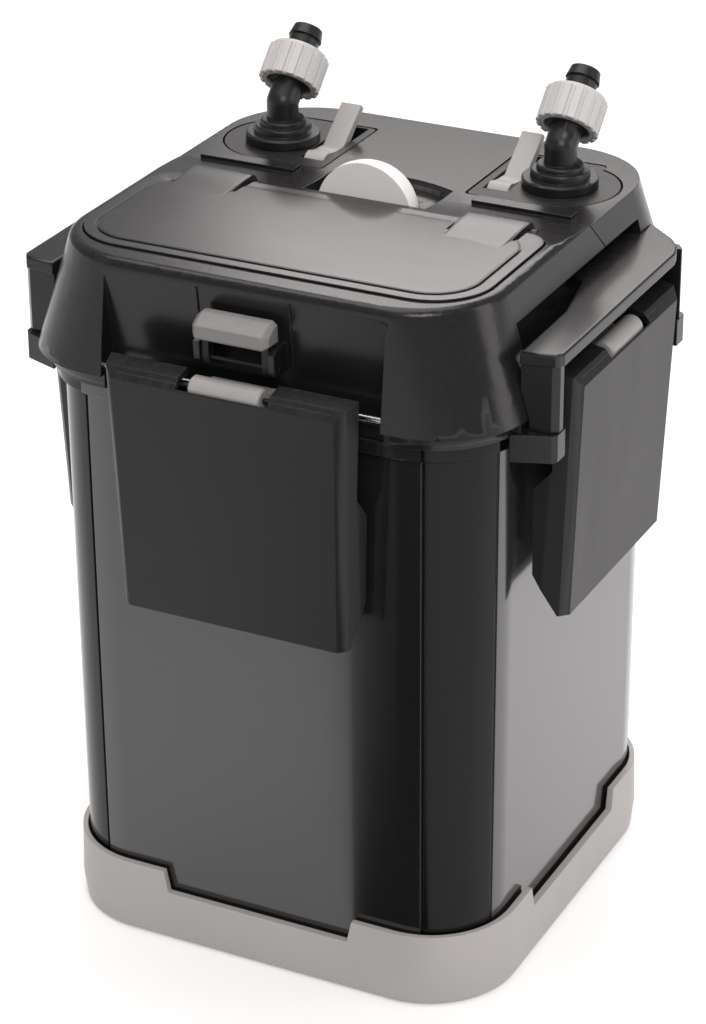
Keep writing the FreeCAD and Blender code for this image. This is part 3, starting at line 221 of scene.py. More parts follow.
# what every moulded finish has unless its own look says otherwise
commonLook = dict(cloud=8.0, wipe=14.0, dust=0.15, dustColour=(0.42, 0.41, 0.39), bumpDepth=0.0002,
                  edge=0.0008, edgeWearAndPaintedHighlight=0.25, wipeRough=0.12, speckRough=0.05, ior=1.5, specular=0.5,
                  coat=0.0, coatRough=0.1)
looks = {
    "charcoalSatin": dict(colour=(0.0105, 0.0100, 0.0098), cloudColour=(0.0145, 0.0140, 0.0138),
                          edgeWearAndHighlightColour=(0.055, 0.054, 0.053), rough=0.36, grain=1300.0, bump=0.16,
                          specular=0.32, dust=0.06, wipeRough=0.10),
    "headSatin": dict(colour=(0.0105, 0.0100, 0.0098), cloudColour=(0.0140, 0.0135, 0.0133),
                      edgeWearAndHighlightColour=(0.050, 0.049, 0.048), rough=0.18, grain=1300.0, bump=0.08,
                      specular=0.34, dust=0.05, wipeRough=0.08),
    "lidSheen": dict(colour=(0.016, 0.015, 0.015), cloudColour=(0.021, 0.020, 0.020),
                     edgeWearAndHighlightColour=(0.10, 0.10, 0.10), rough=0.19, grain=1500.0, bump=0.04,
                     dust=0.04, wipeRough=0.06),
    "smokedPanel": dict(colour=(0.010, 0.0095, 0.0095), cloudColour=(0.013, 0.0125, 0.0125),
                        edgeWearAndHighlightColour=(0.04, 0.04, 0.04), rough=0.13, grain=500.0, bump=0.015,
                        ior=1.6, coat=0.6, coatRough=0.06, wipeRough=0.06, dust=0.0),
    # darker, less reflective copy of the smoked finish for the canister corners: painted shade for the dark
    # reflections there
    "smokedCornerPaintedShade": dict(colour=(0.0035, 0.0032, 0.0032), cloudColour=(0.005, 0.0045, 0.0045),
                         edgeWearAndHighlightColour=(0.03, 0.03, 0.03), rough=0.10, grain=500.0, bump=0.01,
                         specular=0.22, wipeRough=0.05, dust=0.0),
    "silverBase": dict(colour=(0.43, 0.415, 0.405), cloudColour=(0.49, 0.475, 0.465),
                       edgeWearAndHighlightColour=(0.62, 0.61, 0.60), rough=0.36, grain=1100.0, bump=0.18),
    "greyPlastic": dict(colour=(0.34, 0.33, 0.325), cloudColour=(0.40, 0.39, 0.385),
                        edgeWearAndHighlightColour=(0.56, 0.55, 0.54), rough=0.38, grain=1200.0, bump=0.15),
    "lugGrey": dict(colour=(0.185, 0.178, 0.175), cloudColour=(0.215, 0.208, 0.205),
                    edgeWearAndHighlightColour=(0.44, 0.43, 0.42), rough=0.34, grain=1200.0, bump=0.15),
    "paleNut": dict(colour=(0.52, 0.51, 0.50), cloudColour=(0.60, 0.59, 0.58),
                    edgeWearAndHighlightColour=(0.78, 0.77, 0.76), rough=0.34, grain=1200.0, bump=0.15),
    "palePrimer": dict(colour=(0.90, 0.88, 0.86), cloudColour=(0.92, 0.90, 0.88),
                       edgeWearAndHighlightColour=(0.92, 0.91, 0.90), rough=0.42, grain=900.0, bump=0.12),
    "connectorBlack": dict(colour=(0.007, 0.007, 0.007), cloudColour=(0.011, 0.011, 0.011),
                           edgeWearAndHighlightColour=(0.06, 0.06, 0.06), rough=0.30, grain=1200.0, bump=0.12,
                           specular=0.4, dust=0.03),
    "basketBlack": dict(colour=(0.018, 0.018, 0.018), cloudColour=(0.026, 0.026, 0.026),
                        edgeWearAndHighlightColour=(0.08, 0.08, 0.08), rough=0.5, grain=900.0, bump=0.2),
    "softRubber": dict(colour=(0.016, 0.016, 0.016), cloudColour=(0.024, 0.024, 0.024),
                       edgeWearAndHighlightColour=(0.05, 0.05, 0.05), rough=0.62, grain=700.0, bump=0.3, specular=0.3),
    "castResin": dict(colour=(0.012, 0.012, 0.014), cloudColour=(0.02, 0.02, 0.022),
                      edgeWearAndHighlightColour=(0.06, 0.06, 0.06), rough=0.3, grain=300.0, bump=0.1),
    "filterFoam": dict(colour=(0.03, 0.036, 0.042), cloudColour=(0.06, 0.066, 0.07),
                       edgeWearAndHighlightColour=(0.09, 0.09, 0.09), rough=0.9, grain=420.0, bump=1.0, specular=0.2),
}


def mouldedPlastic(name, look):
    mat, tree, shader = newMaterial(name)
    grain = useGroup(tree, mouldGrain, -1100, 200, Scale=look["grain"], Cloud_Scale=look["cloud"])
    marks = useGroup(tree, handling, -1100, -200, Wipe_Scale=look["wipe"], Dust=look["dust"])
    bump = addTo(tree, "ShaderNodeBump", -800, 300, Strength=look["bump"], Distance=look["bumpDepth"])
    tree.links.new(grain.outputs["Height"], bump.inputs["Height"])
    edge = useGroup(tree, softEdge, -550, 300, Radius=look["edge"])
    tree.links.new(bump.outputs[0], edge.inputs["Normal"])
    shade = mixColour(tree, grain.outputs["Cloud"], look["colour"], look["cloudColour"], -500, 0)
    # edges go towards a lighter edge colour: partly wear, partly a painted highlight along the edges
    wearAndPaintedHighlightAmount = mathNode(tree, "MULTIPLY", edge.outputs["Edge"], look["edgeWearAndPaintedHighlight"], -400, 120)
    edgeWearAndPaintedHighlight = mixColour(tree, wearAndPaintedHighlightAmount, shade, look["edgeWearAndHighlightColour"], -250, 50)
    dusty = mixColour(tree, marks.outputs["Dust"], edgeWearAndPaintedHighlight, look["dustColour"], -50, 0)
    wiped = mathNode(tree, "MULTIPLY", marks.outputs["Wipe"], look["wipeRough"], -500, -200)
    rough = mathNode(tree, "ADD", wiped, look["rough"], -300, -200)
    specks = mathNode(tree, "MULTIPLY", grain.outputs["Speck"], look["speckRough"], -300, -330)
    tree.links.new(dusty, shader.inputs["Base Color"])
    tree.links.new(mathNode(tree, "ADD", rough, specks, -100, -250, True), shader.inputs["Roughness"])
    tree.links.new(edge.outputs["Normal"], shader.inputs["Normal"])
    shader.inputs["IOR"].default_value = look["ior"]
    shader.inputs["Specular IOR Level"].default_value = look["specular"]
    shader.inputs["Coat Weight"].default_value = look["coat"]
    shader.inputs["Coat Roughness"].default_value = look["coatRough"]
    return mat


steelLook = dict(lines=900.0, dark=(0.42, 0.41, 0.40), light=(0.66, 0.65, 0.64), bump=0.1, bumpDepth=0.0001,
                 edge=0.0003, rough=0.15, roughSpread=0.2)


def brushedSteel(look):
    mat, tree, shader = newMaterial("pinSteel")
    where = addTo(tree, "ShaderNodeTexCoord", -1100, 0)
    lines = addTo(tree, "ShaderNodeTexNoise", -800, 0, Scale=look["lines"], Detail=4.0)
    tree.links.new(where.outputs["Object"], lines.inputs["Vector"])
    bump = addTo(tree, "ShaderNodeBump", -500, 200, Strength=look["bump"], Distance=look["bumpDepth"])
    tree.links.new(lines.outputs["Fac"], bump.inputs["Height"])
    edge = useGroup(tree, softEdge, -250, 200, Radius=look["edge"])
    tree.links.new(bump.outputs[0], edge.inputs["Normal"])
    tree.links.new(edge.outputs["Normal"], shader.inputs["Normal"])
    shade = mixColour(tree, lines.outputs["Fac"], look["dark"], look["light"], -400, -100)
    tree.links.new(shade, shader.inputs["Base Color"])
    spread = mathNode(tree, "MULTIPLY", lines.outputs["Fac"], look["roughSpread"], -400, -300)
    tree.links.new(mathNode(tree, "ADD", spread, look["rough"], -200, -300), shader.inputs["Roughness"])
    shader.inputs["Metallic"].default_value = 1.0
    return mat


finish = {name: mouldedPlastic(name, commonLook | look) for name, look in looks.items()}
finish["pinSteel"] = brushedSteel(steelLook)
print("stage: materials")


def evenShade(mesh, angle):
    # smooth faces split at real edges, with normals weighted by face area
    mesh.polygons.foreach_set("use_smooth", [True] * len(mesh.polygons))
    mesh.set_sharp_from_angle(angle=math.radians(angle))
    carrier = linked("shadeCarrier", mesh)
    weigh = carrier.modifiers.new("faceWeight", "WEIGHTED_NORMAL")
    weigh.keep_sharp, weigh.weight = True, 100
    split = carrier.modifiers.new("triangles", "TRIANGULATE")
    split.min_vertices, split.keep_custom_normals = 5, True
    return evaluated(carrier)


def softened(mesh, width, angle=30, segments=2, cutters=None):
    # real rounded edges, after any boxes have been cut away
    carrier = linked("softCarrier", mesh)
    if cutters:
        cut = carrier.modifiers.new("slits", "BOOLEAN")
        cut.operation, cut.solver, cut.object = "DIFFERENCE", "EXACT", cutters
    if width:
        addBevel(carrier, width, segments, angle)
    return evaluated(carrier)


def addPiece(name, mesh, body, *replaced):
    mesh.name = name
    piece = linked(name, mesh)
    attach(piece, body)
    if replaced:
        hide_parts(*replaced)
    return piece


cleanUp = dict(merge=0.00002, sliver=0.000005, flat=0.5, sharp=30.0)


def dressedCopy(name, label, drop=None):
    # the CAD node's own mesh with clean faces and even shading
    work = bmesh.new()
    work.from_mesh(nodes[name].data)
    bmesh.ops.remove_doubles(work, verts=work.verts, dist=cleanUp["merge"])
    if drop:
        gone = [f for f in work.faces if drop(f.calc_center_median())]
        bmesh.ops.delete(work, geom=gone, context="FACES")
    bmesh.ops.dissolve_degenerate(work, edges=work.edges, dist=cleanUp["sliver"])
    flat = math.radians(cleanUp["flat"])
    bmesh.ops.dissolve_limit(work, angle_limit=flat, verts=work.verts, edges=work.edges)
    for face in work.faces:
        face.material_index = 0
    mesh = finished(work, name)
    mesh.materials.append(finish[label])
    piece = addPiece(name + "Shell", evenShade(mesh, cleanUp["sharp"]), bodyOf[name], name)
    made.add(name)


slotFinish = {"silver_plastic": "silverBase", "rubber": "softRubber", "smoked_gloss": "smokedPanel",
              "basket_plastic": "basketBlack", "sponge": "filterFoam", "charcoal_satin": "charcoalSatin",
              "cover_sheen": "lidSheen", "grey_plastic": "greyPlastic", "pale_plastic": "palePrimer",
              "steel": "pinSteel", "motor_resin": "castResin"}
# nodes whose finish differs from the rest of their slot
ownFinish = dict.fromkeys(("head_housing", "handle_left", "handle_right"), "headSatin")
ownFinish |= dict.fromkeys(
    ("latch_pin", "clip_axle_front", "clip_axle_right", "clip_axle_back", "clip_axle_left",
     "inlet_elbow", "outlet_elbow", "inlet_hose_tail", "outlet_hose_tail"), "connectorBlack")


# rounded outlines and shells built up from rings
def cornerRing(halfX, halfY, corner, z, cuts, centre=(0.0, 0.0)):
    # cuts are (angle in degrees across the corner, how far the surface is let in there)
    ring = []
    for quarter in range(4):
        turn = math.radians(90 * quarter)
        sx, sy = ((1, 1), (-1, 1), (-1, -1), (1, -1))[quarter]
        mid = Vector((centre[0] + sx * (halfX - corner), centre[1] + sy * (halfY - corner), z))
        for degrees, inset in cuts:
            a = turn + math.radians(degrees)
            ring.append(mid + Vector((math.cos(a), math.sin(a), 0)) * (corner - inset))
    return ring


def ringShell(rings, bands=None, closeStart=True, closeEnd=True):
    work = bmesh.new()
    rows = [[work.verts.new(p) for p in ring] for ring in rings]
    count = len(rows[0])
    for low, high in zip(rows, rows[1:]):
        for i in range(count):
            face = work.faces.new((low[i], low[(i + 1) % count], high[(i + 1) % count], high[i]))
            if bands:
                face.material_index = bands(i % (count // 4))
    for row, wanted, flip in ((rows[0], closeStart, True), (rows[-1], closeEnd, False)):
        if wanted:
            work.faces.new(list(reversed(row)) if flip else row)
    bmesh.ops.remove_doubles(work, verts=work.verts, dist=0.000001)
    bmesh.ops.recalc_face_normals(work, faces=work.faces)
    return finished(work, "shell")


canisterLook = dict(half=0.1239, corner=0.043, lean=0.0012, wall=0.003, floor=0.004, footRound=0.0012,
                    steps=9, levels=7, sharp=25, grooveAngle=18.5, grooveDepth=0.0009, grooveHalf=0.75,
                    grooveShoulder=0.35, grooveStop=0.011, grooveEnd=0.0012, flangeCorner=0.048,
                    flangeDrop=0.008, flangeSoft=0.0008)


def makeCanister(c):
    low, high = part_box("canister")
    flangeHalf, rimTop = high[0], high[2]
    bottom, rimLow, grooveTop = low[2], rimTop - c["flangeDrop"], rimTop - c["grooveStop"]
    tankLow = c["half"]
    g, w, d, shoulder = c["grooveAngle"], c["grooveHalf"], c["grooveDepth"], c["grooveShoulder"]
    # angles across one corner: panel, groove, gloss corner, and the same again mirrored; the groove and gloss
    # corner bands get the darker finish, painted shade
    plain = [0, g * 0.5, g - w - shoulder, g - w, g + w, g + w + shoulder]
    panelCount = len(plain)
    plain += [g + w + shoulder + (90 - 2 * (g + w + shoulder)) * i / c["steps"] for i in range(1, c["steps"])]
    angles = plain + [90 - a for a in reversed(plain[:panelCount])]
    deep = {3, 4, len(angles) - 5, len(angles) - 4}

    def ring(half, corner, z, depth):
        cuts = [(a, depth if i in deep else 0.0) for i, a in enumerate(angles)]
        return cornerRing(half, half, corner, z, cuts)

    def tank(z, inset, depth):
        out = c["lean"] * (z - bottom) / (rimLow - bottom)
        return ring(tankLow + out - inset, c["corner"] + out - inset, z, depth)

    foot = c["footRound"]
    rings = [tank(bottom, foot, 0), tank(bottom + foot * 0.3, foot * 0.3, d)]
    rings += [tank(bottom + foot + (grooveTop - bottom - foot) * i / c["levels"], 0, d)
              for i in range(c["levels"] + 1)]
    rings += [tank(grooveTop + c["grooveEnd"], 0, 0), tank(rimLow, 0, 0)]
    soft = c["flangeSoft"]
    for inset, z in ((soft, rimLow), (0, rimLow + soft), (0, rimTop - soft), (soft, rimTop)):
        rings.append(ring(flangeHalf - inset, c["flangeCorner"] - inset, z, 0))
    rings += [tank(z, c["wall"], 0) for z in (rimTop, rimLow, bottom + c["floor"])]
    last = len(angles) - 1
    # the corner bands take the second, darker material: painted shade on the canister corners
    mesh = ringShell(rings, lambda i: 0 if i < 3 or i >= last - 3 else 1)
    mesh.materials.append(finish["smokedPanel"])
    mesh.materials.append(finish["smokedCornerPaintedShade"])
    piece = addPiece("canisterShell", evenShade(mesh, c["sharp"]), bodyOf["canister"], "canister")
    made.add("canister")


makeCanister(canisterLook)
print("stage: canister")


def boxSet(boxes):
    work = bmesh.new()
    for x0, x1, y0, y1, z0, z1 in boxes:
        place = Matrix.Translation(((x0 + x1) / 2, (y0 + y1) / 2, (z0 + z1) / 2))
        bmesh.ops.create_cube(work, size=1, matrix=place @ Matrix.Diagonal((x1 - x0, y1 - y0, z1 - z0, 1)))
    return linked("boxSet", finished(work, "boxSet"))


lidSkinLook = dict(inset=0.0079, rear=0.0042, corner=0.0242, cornerSteps=12, crown=0.0004, crownPower=2.4,
                   lift=0.00006, rings=20, ringPower=1.3, spine=0.055, panelTop=0.3975, lidRear=-0.010,
                   sink=0.0004, sharp=40, slit=0.0016, slitX=(-0.09845, -0.06215, 0.06055, 0.09685),
                   slitY=(-0.024, 0.02), slitZ=(0.39, 0.41))


def makeLidSkin(c):
    # slightly domed panel skin, slit beside each hinge hood
    low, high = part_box("front_cover")
    halfX = high[0] - c["inset"]
    front, rear = low[1] + c["inset"], c["lidRear"] - c["rear"]
    halfY, midY = (rear - front) / 2, (rear + front) / 2
    cuts = [(90 * i / c["cornerSteps"], 0.0) for i in range(c["cornerSteps"] + 1)]
    outline = cornerRing(halfX, halfY, c["corner"], c["panelTop"], cuts, (0.0, midY))
    rings = [[Vector((p.x, p.y, c["panelTop"] - c["sink"])) for p in outline]]
    for k in range(c["rings"] + 1):
        t = (k / c["rings"]) ** c["ringPower"]
        ring = []
        for p in outline:
            spine = Vector((max(-c["spine"], min(c["spine"], p.x)), midY, p.z))
            q = p.lerp(spine, t)
            q.z = c["panelTop"] + c["lift"] + c["crown"] * (1 - (1 - t) ** c["crownPower"])
            ring.append(q)
        rings.append(ring)
    mesh = ringShell(rings, None, True, False)
    mesh.materials.append(finish["lidSheen"])
    slits = boxSet([(x, x + c["slit"], *c["slitY"], *c["slitZ"]) for x in c["slitX"]])
    skin = addPiece("lidSkin", evenShade(softened(mesh, 0, cutters=slits), c["sharp"]), "lid")
    bpy.data.objects.remove(slits)


hoodLook = dict(inner=0.06225, outer=0.09675, axisY=-0.002, axisZ=0.393, roll=0.0062, rollFrom=92,
                rollTurn=104, rollSteps=9, side=0.0014, across=7, skirt=0.0016, sharp=45,
                rise=[(-0.038, 0.39768), (-0.034, 0.39782), (-0.029, 0.39806), (-0.024, 0.39838),
                      (-0.018, 0.39880), (-0.012, 0.39912), (-0.007, 0.39925)])


def makeHoods(c):
    # saddles that run up from the lid and roll over the hinge knuckles
    line = [Vector((0, y, z)) for y, z in c["rise"]]
    line += [Vector((0, c["axisY"] + c["roll"] * math.cos(a), c["axisZ"] + c["roll"] * math.sin(a)))
             for a in (math.radians(c["rollFrom"] - c["rollTurn"] * i / c["rollSteps"])
                       for i in range(c["rollSteps"] + 1))]
    up = []
    for i in range(len(line)):
        along = line[min(i + 1, len(line) - 1)] - line[max(i - 1, 0)]
        up.append(Vector((0, -along.z, along.y)).normalized())
    # stations are (distance from the inner side, drop below the ridge)
    stations = [(0.0, c["skirt"])]
    stations += [(c["side"] * (1 - math.cos(a)), c["side"] * (1 - math.sin(a)))
                 for a in (math.pi / 2 * i / c["across"] for i in range(c["across"] + 1))]
    width = c["outer"] - c["inner"]
    stations += [(width - d, drop) for d, drop in reversed(stations)]
    for name, side in (("left", -1), ("right", 1)):
        work = bmesh.new()
        rows = []
        for d, drop in stations:
            out = Vector((side * (c["inner"] + d), 0, 0))
            rows.append([work.verts.new(p + out - n * drop) for p, n in zip(line, up)])
        for row, after in zip(rows, rows[1:]):
            for i in range(len(line) - 1):
                work.faces.new((row[i], row[i + 1], after[i + 1], after[i]))
        bmesh.ops.recalc_face_normals(work, faces=work.faces)
        if sum(f.normal.z for f in work.faces) < 0:
            bmesh.ops.reverse_faces(work, faces=work.faces)
        mesh = finished(work, "hood")
        mesh.materials.append(finish["lidSheen"])
        addPiece(name + "LidHood", evenShade(mesh, c["sharp"]), "lid")


makeLidSkin(lidSkinLook)
makeHoods(hoodLook)
print("stage: lid skin and hoods")

nutLook = dict(portX=0.082, portY=0.071, bend=0.414, lean=45.0, start=0.010, end=0.031, steps=96, sharp=35,
               outer=0.0160, foot=0.0008, soft=0.0022, softShare=0.3, bore=0.0125, mouth=0.0092,
               mouthDeep=0.006, boreStop=0.007, ribs=16, tip=0.0170, ribWide=0.0043, ribDeep=0.003,
               ribSoft=0.0004, ribSharp=50)


def ribTree(c):
    # ribs set round the Z axis and joined to the body that comes in
    tree = bpy.data.node_groups.new("nutRibs", "GeometryNodeTree")
    tree.interface.new_socket("Body", in_out="INPUT", socket_type="NodeSocketGeometry")
    sizes = {}
    # length and middle are set on each nut's modifier
    for label, kind, value in (("Ribs", "NodeSocketInt", c["ribs"]),
                               ("Tip Radius", "NodeSocketFloat", c["tip"]),
                               ("Rib Width", "NodeSocketFloat", c["ribWide"]),
                               ("Rib Depth", "NodeSocketFloat", c["ribDeep"]),
                               ("Rib Length", "NodeSocketFloat", None),
                               ("Rib Middle", "NodeSocketFloat", None),
                               ("Finish", "NodeSocketMaterial", None)):
        socket = tree.interface.new_socket(label, in_out="INPUT", socket_type=kind)
        if value is not None:
            socket.default_value = value
        sizes[label] = socket.identifier
    tree.interface.new_socket("Nut", in_out="OUTPUT", socket_type="NodeSocketGeometry")
    src, out = addTo(tree, "NodeGroupInput", -900, 0), addTo(tree, "NodeGroupOutput", 900, 0)
    size = addTo(tree, "ShaderNodeCombineXYZ", -700, -200)
    for label, axis in (("Rib Depth", "X"), ("Rib Width", "Y"), ("Rib Length", "Z")):
        tree.links.new(src.outputs[label], size.inputs[axis])
    rib = addTo(tree, "GeometryNodeMeshCube", -500, -200)
    tree.links.new(size.outputs[0], rib.inputs["Size"])
    halfDeep = mathNode(tree, "MULTIPLY", src.outputs["Rib Depth"], 0.5, -700, 100)
    away = mathNode(tree, "SUBTRACT", src.outputs["Tip Radius"], halfDeep, -500, 100)
    circle = addTo(tree, "GeometryNodeMeshCircle", -300, 150)
    tree.links.new(src.outputs["Ribs"], circle.inputs["Vertices"])
    tree.links.new(away, circle.inputs["Radius"])
    where = addTo(tree, "GeometryNodeInputPosition", -300, -50)
    flat = addTo(tree, "ShaderNodeVectorMath", -200, -50, operation="MULTIPLY")
    flat.inputs[1].default_value = (1, 1, 0)
    face = addTo(tree, "FunctionNodeAlignRotationToVector", -50, -50, axis="X")
    tree.links.new(where.outputs[0], flat.inputs[0])
    tree.links.new(flat.outputs[0], face.inputs["Vector"])
    midHeight = addTo(tree, "ShaderNodeCombineXYZ", -300, 350)
    tree.links.new(src.outputs["Rib Middle"], midHeight.inputs["Z"])
    lifted = addTo(tree, "GeometryNodeTransform", -100, 250)
    tree.links.new(circle.outputs["Mesh"], lifted.inputs["Geometry"])
    tree.links.new(midHeight.outputs[0], lifted.inputs["Translation"])
    spread = addTo(tree, "GeometryNodeInstanceOnPoints", 100, 100)
    tree.links.new(lifted.outputs[0], spread.inputs["Points"])
    tree.links.new(rib.outputs["Mesh"], spread.inputs["Instance"])
    tree.links.new(face.outputs["Rotation"], spread.inputs["Rotation"])
    both = addTo(tree, "GeometryNodeJoinGeometry", 300, 50)
    tree.links.new(spread.outputs[0], both.inputs[0])
    tree.links.new(src.outputs["Body"], both.inputs[0])
    real = addTo(tree, "GeometryNodeRealizeInstances", 500, 50)
    paint = addTo(tree, "GeometryNodeSetMaterial", 700, 50)
    tree.links.new(both.outputs[0], real.inputs[0])
    tree.links.new(real.outputs[0], paint.inputs["Geometry"])
    tree.links.new(src.outputs["Finish"], paint.inputs["Material"])
    tree.links.new(paint.outputs[0], out.inputs[0])
    return tree, sizes


def revolved(profile, steps):
    # closed (radius, height) outline spun about Z
    work = bmesh.new()
    rows = [[work.verts.new((r * math.cos(a), r * math.sin(a), h)) for r, h in profile]
            for a in (2 * math.pi * i / steps for i in range(steps))]
    for row, after in zip(rows, rows[1:] + rows[:1]):
        for i in range(len(profile)):
            j = (i + 1) % len(profile)
            work.faces.new((row[i], after[i], after[j], row[j]))
    bmesh.ops.recalc_face_normals(work, faces=work.faces)
    return finished(work, "revolved")


def makeNuts(c):
    tree, sizes = ribTree(c)
    long = c["end"] - c["start"]
    s = c["soft"]
    profile = [(c["bore"], 0), (c["outer"] - c["foot"], 0), (c["outer"], c["foot"]), (c["outer"], long - s),
               (c["outer"] - c["softShare"] * s, long - c["softShare"] * s), (c["outer"] - s, long),
               (c["mouth"], long), (c["mouth"], long - c["mouthDeep"]), (c["bore"], long - c["boreStop"])]
    for name, side in (("inlet", -1), ("outlet", 1)):
        body = linked(name + "NutBody", revolved(profile, c["steps"]))
        ribs = body.modifiers.new("ribs", "NODES")
        ribs.node_group = tree
        ribs[sizes["Rib Length"]], ribs[sizes["Rib Middle"]] = long - s, (long - s) / 2
        ribs[sizes["Finish"]] = finish["paleNut"]
        addBevel(body, c["ribSoft"], 2, c["ribSharp"])
        mesh = evaluated(body)
        lean = Matrix.Rotation(math.radians(-c["lean"]), 4, "X")
        mesh.transform(Matrix.Translation((side * c["portX"], c["portY"], c["bend"])) @ lean
                       @ Matrix.Translation((0, 0, c["start"])))
        piece = addPiece(name + "Nut", evenShade(mesh, c["sharp"]), bodyOf[name + "_nut"], name + "_nut")
        made.add(name + "_nut")


makeNuts(nutLook)
print("stage: nuts")

lugLook = dict(half=0.0212, endCut=0.0028, endScale=0.70, middle=(0.1335, 0.3742), soft=0.0005, sharp=35,
               bottom=0.3684, armFront=0.1305,
               outline=[(0.1312, 0.3810), (0.1366, 0.3807), (0.1446, 0.3763), (0.1449, 0.3704),
                        (0.1436, 0.3690), (0.1312, 0.3687)])


def makeLatchLug(c):
    # pale bar on charcoal arms, its ends drawn in
    def section(x, scale):
        mv, mz = c["middle"]
        return [Vector((x, -(mv + (v - mv) * scale), mz + (z - mz) * scale)) for v, z in c["outline"]]

    h, e = c["half"], c["endCut"]
    drawn = c["endScale"]
    mesh = ringShell([section(-h, drawn), section(e - h, 1), section(h - e, 1), section(h, drawn)])
    mesh.materials.append(finish["lugGrey"])
    addPiece("latchLug", evenShade(softened(mesh, c["soft"]), c["sharp"]), "latch")
    dressedCopy("cover_latch", "charcoalSatin", lambda p: p.z > c["bottom"] and p.y < -c["armFront"])


lipLook = dict(across=0.0248, wide=0.0015, proud=0.0009, root=0.001, soft=0.0004, sharp=35, low=0.3505,
               high=0.3895, faceLow=(0.334, 0.1215), faceHigh=(0.390, 0.1289))


def makeChannelLips(c):
    # two upright lips beside the latch on the front of the head
    (z0, v0), (z1, v1) = c["faceLow"], c["faceHigh"]
    for name, side in (("left", -1), ("right", 1)):
        x0, x1 = sorted((side * c["across"], side * (c["across"] + c["wide"])))
        rings = []
        for z in (c["low"], c["high"]):
            face = v0 + (v1 - v0) * (z - z0) / (z1 - z0)
            rings.append([Vector((x0, -face + c["root"], z)), Vector((x0, -face - c["proud"], z)),
                          Vector((x1, -face - c["proud"], z)), Vector((x1, -face + c["root"], z))])
        mesh = ringShell(rings)
        mesh.materials.append(finish["headSatin"])
        lip = addPiece(name + "ChannelLip", evenShade(softened(mesh, c["soft"]), c["sharp"]), "head")


makeLatchLug(lugLook)
makeChannelLips(lipLook)
for name in sorted(nodes):
    if name not in made:
        dressedCopy(name, ownFinish.get(name, slotFinish[slotOf[name]]))
print("stage: CAD nodes dressed", len(made))

studio = dict(turn=26.77, rise=26.37, away=1.7566, side=-0.00477, height=0.21467, roll=-0.44, lens=113.92,
              sensor=36.0, seesTo=50.0, skyFill=0.34, lampTint=(1.0, 0.955, 0.945))
lamps = {
    "overheadBox": dict(place=(-0.3, 0.2, 2.3), aim=(0, 0, 0.2), size=(1.8, 1.8), power=26),
    "rearBox": dict(place=(-0.55, 2.44, 2.02), aim=(0, 0, 0.35), size=(1.8, 1.3), power=27),
    "keyBox": dict(place=(1.1, -1.7, 2.1), aim=(0, 0, 0.2), size=(1.2, 1.2), power=32),
    "rightBox": dict(place=(2.2, 0.6, 1.0), aim=(0, 0, 0.2), size=(0.9, 1.6), power=11),
    "leftBox": dict(place=(-2.0, -1.4, 1.3), aim=(0, 0, 0.2), size=(0.8, 1.6), power=1.0),
}


def makeCamera(s):
    a, e, r = math.radians(s["turn"]), math.radians(s["rise"]), math.radians(s["roll"])
    level = Vector((math.cos(a), math.sin(a), 0))
    forward = Vector((-math.sin(a) * math.cos(e), math.cos(a) * math.cos(e), -math.sin(e)))
    plumb = level.cross(forward)
    right = level * math.cos(r) + plumb * math.sin(r)
    up = plumb * math.cos(r) - level * math.sin(r)
    lens = bpy.data.cameras.new("studioCamera")
    lens.lens, lens.sensor_width, lens.clip_end = s["lens"], s["sensor"], s["seesTo"]
    cam = linked("studioCamera", lens)
    place = Vector((0, 0, s["height"])) + level * s["side"] - forward * s["away"]
    cam.matrix_world = Matrix.Translation(place) @ Matrix((right, up, -forward)).transposed().to_4x4()
    bpy.context.scene.camera = cam


def softbox(name, lamp, tint):
    light = bpy.data.lights.new(name, "AREA")
    light.shape, light.energy, light.color = "RECTANGLE", lamp["power"], tint
    light.size, light.size_y = lamp["size"]
    box = linked(name, light)
    box.location = lamp["place"]
    box.rotation_euler = (Vector(lamp["aim"]) - Vector(lamp["place"])).to_track_quat("-Z", "Y").to_euler()


def paleRoom(s):
    world = bpy.data.worlds.new("paleRoom")
    bpy.context.scene.world = world
    world.use_nodes = True
    back = world.node_tree.nodes["Background"]
    back.inputs["Strength"].default_value = s["skyFill"]
    back.inputs["Color"].default_value = (1, 1, 1, 1)


floorLook = dict(half=30.0, drop=0.0004, colour=(0.86, 0.86, 0.86, 1), rough=0.8, glow=0.30, farGlow=0.80,
                 fade=(1.3, 5.0))


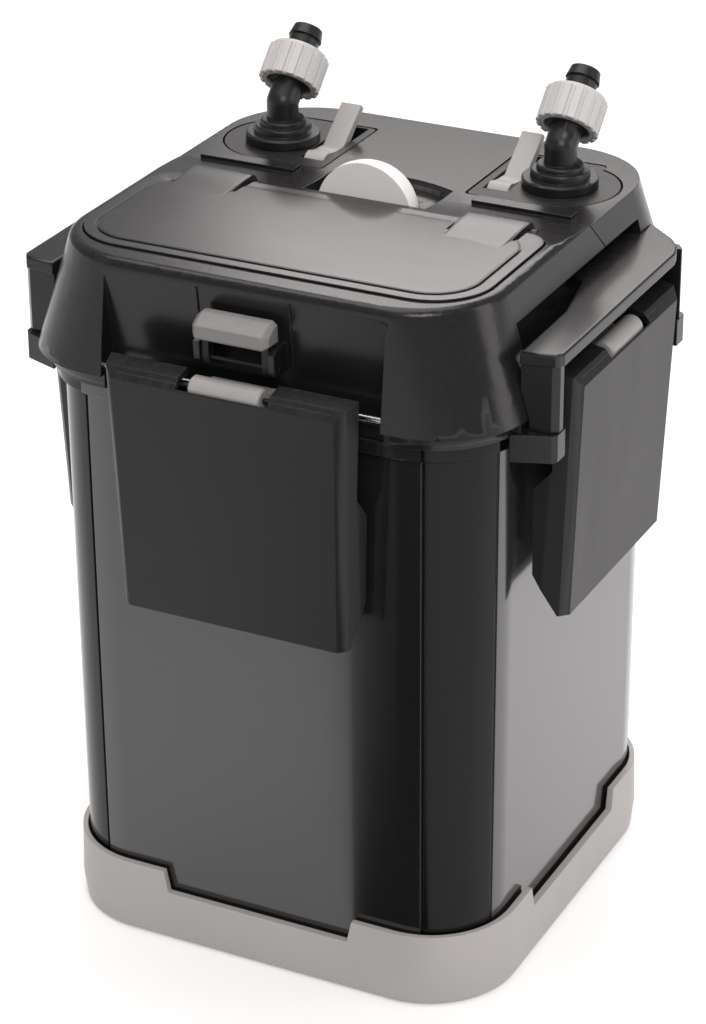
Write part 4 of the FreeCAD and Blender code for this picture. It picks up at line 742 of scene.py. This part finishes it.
def paleFloor(c):
    half = c["half"]
    mesh = bpy.data.meshes.new("paleFloor")
    corners = [(-half, -half, 0), (half, -half, 0), (half, half, 0), (-half, half, 0)]
    mesh.from_pydata(corners, [], [(0, 1, 2, 3)])
    floor = linked("paleFloor", mesh)
    floor.location.z = -c["drop"]
    mat, tree, shader = newMaterial("paleFloor")
    shader.inputs["Base Color"].default_value = c["colour"]
    shader.inputs["Roughness"].default_value = c["rough"]
    shader.inputs["Specular IOR Level"].default_value = 0.0
    shader.inputs["Emission Color"].default_value = (1, 1, 1, 1)
    rays = addTo(tree, "ShaderNodeLightPath", -700, -300)
    seen = mathNode(tree, "MAXIMUM", rays.outputs["Is Camera Ray"], rays.outputs["Is Glossy Ray"], -550, -300)
    seen = mathNode(tree, "MAXIMUM", seen, rays.outputs["Is Transmission Ray"], -450, -300)
    # the floor glows more where the lamps no longer reach
    spot = addTo(tree, "ShaderNodeTexCoord", -950, -520)
    away = addTo(tree, "ShaderNodeVectorMath", -800, -520, operation="LENGTH")
    glow = addTo(tree, "ShaderNodeMapRange", -650, -520, From_Min=c["fade"][0], From_Max=c["fade"][1],
                 To_Min=c["glow"], To_Max=c["farGlow"])
    tree.links.new(spot.outputs["Object"], away.inputs[0])
    tree.links.new(away.outputs["Value"], glow.inputs["Value"])
    tree.links.new(mathNode(tree, "MULTIPLY", seen, glow.outputs["Result"], -300, -300),
                   shader.inputs["Emission Strength"])
    mesh.materials.append(mat)


flagLook = dict(corners=[(0.040, -0.155), (-0.350, -0.930), (0.420, -1.050), (0.115, -0.155)], height=0.0006,
                colour=(0.004, 0.004, 0.004, 1))


def blackFlag(c):
    # dark card laid in front of the filter, there only for what the gloss mirrors
    mesh = bpy.data.meshes.new("blackFlag")
    mesh.from_pydata([(x, y, c["height"]) for x, y in c["corners"]], [], [(0, 1, 2, 3)])
    card = linked("blackFlag", mesh)
    mat, tree, shader = newMaterial("blackFlag")
    shader.inputs["Base Color"].default_value = c["colour"]
    shader.inputs["Specular IOR Level"].default_value = 0.0
    mesh.materials.append(mat)
    card.visible_camera = card.visible_diffuse = card.visible_shadow = False


makeCamera(studio)
paleRoom(studio)
paleFloor(floorLook)
blackFlag(flagLook)
for name, lamp in lamps.items():
    softbox(name, lamp, studio["lampTint"])
bpy.context.scene.view_settings.view_transform = "Standard"
print("stage: studio")
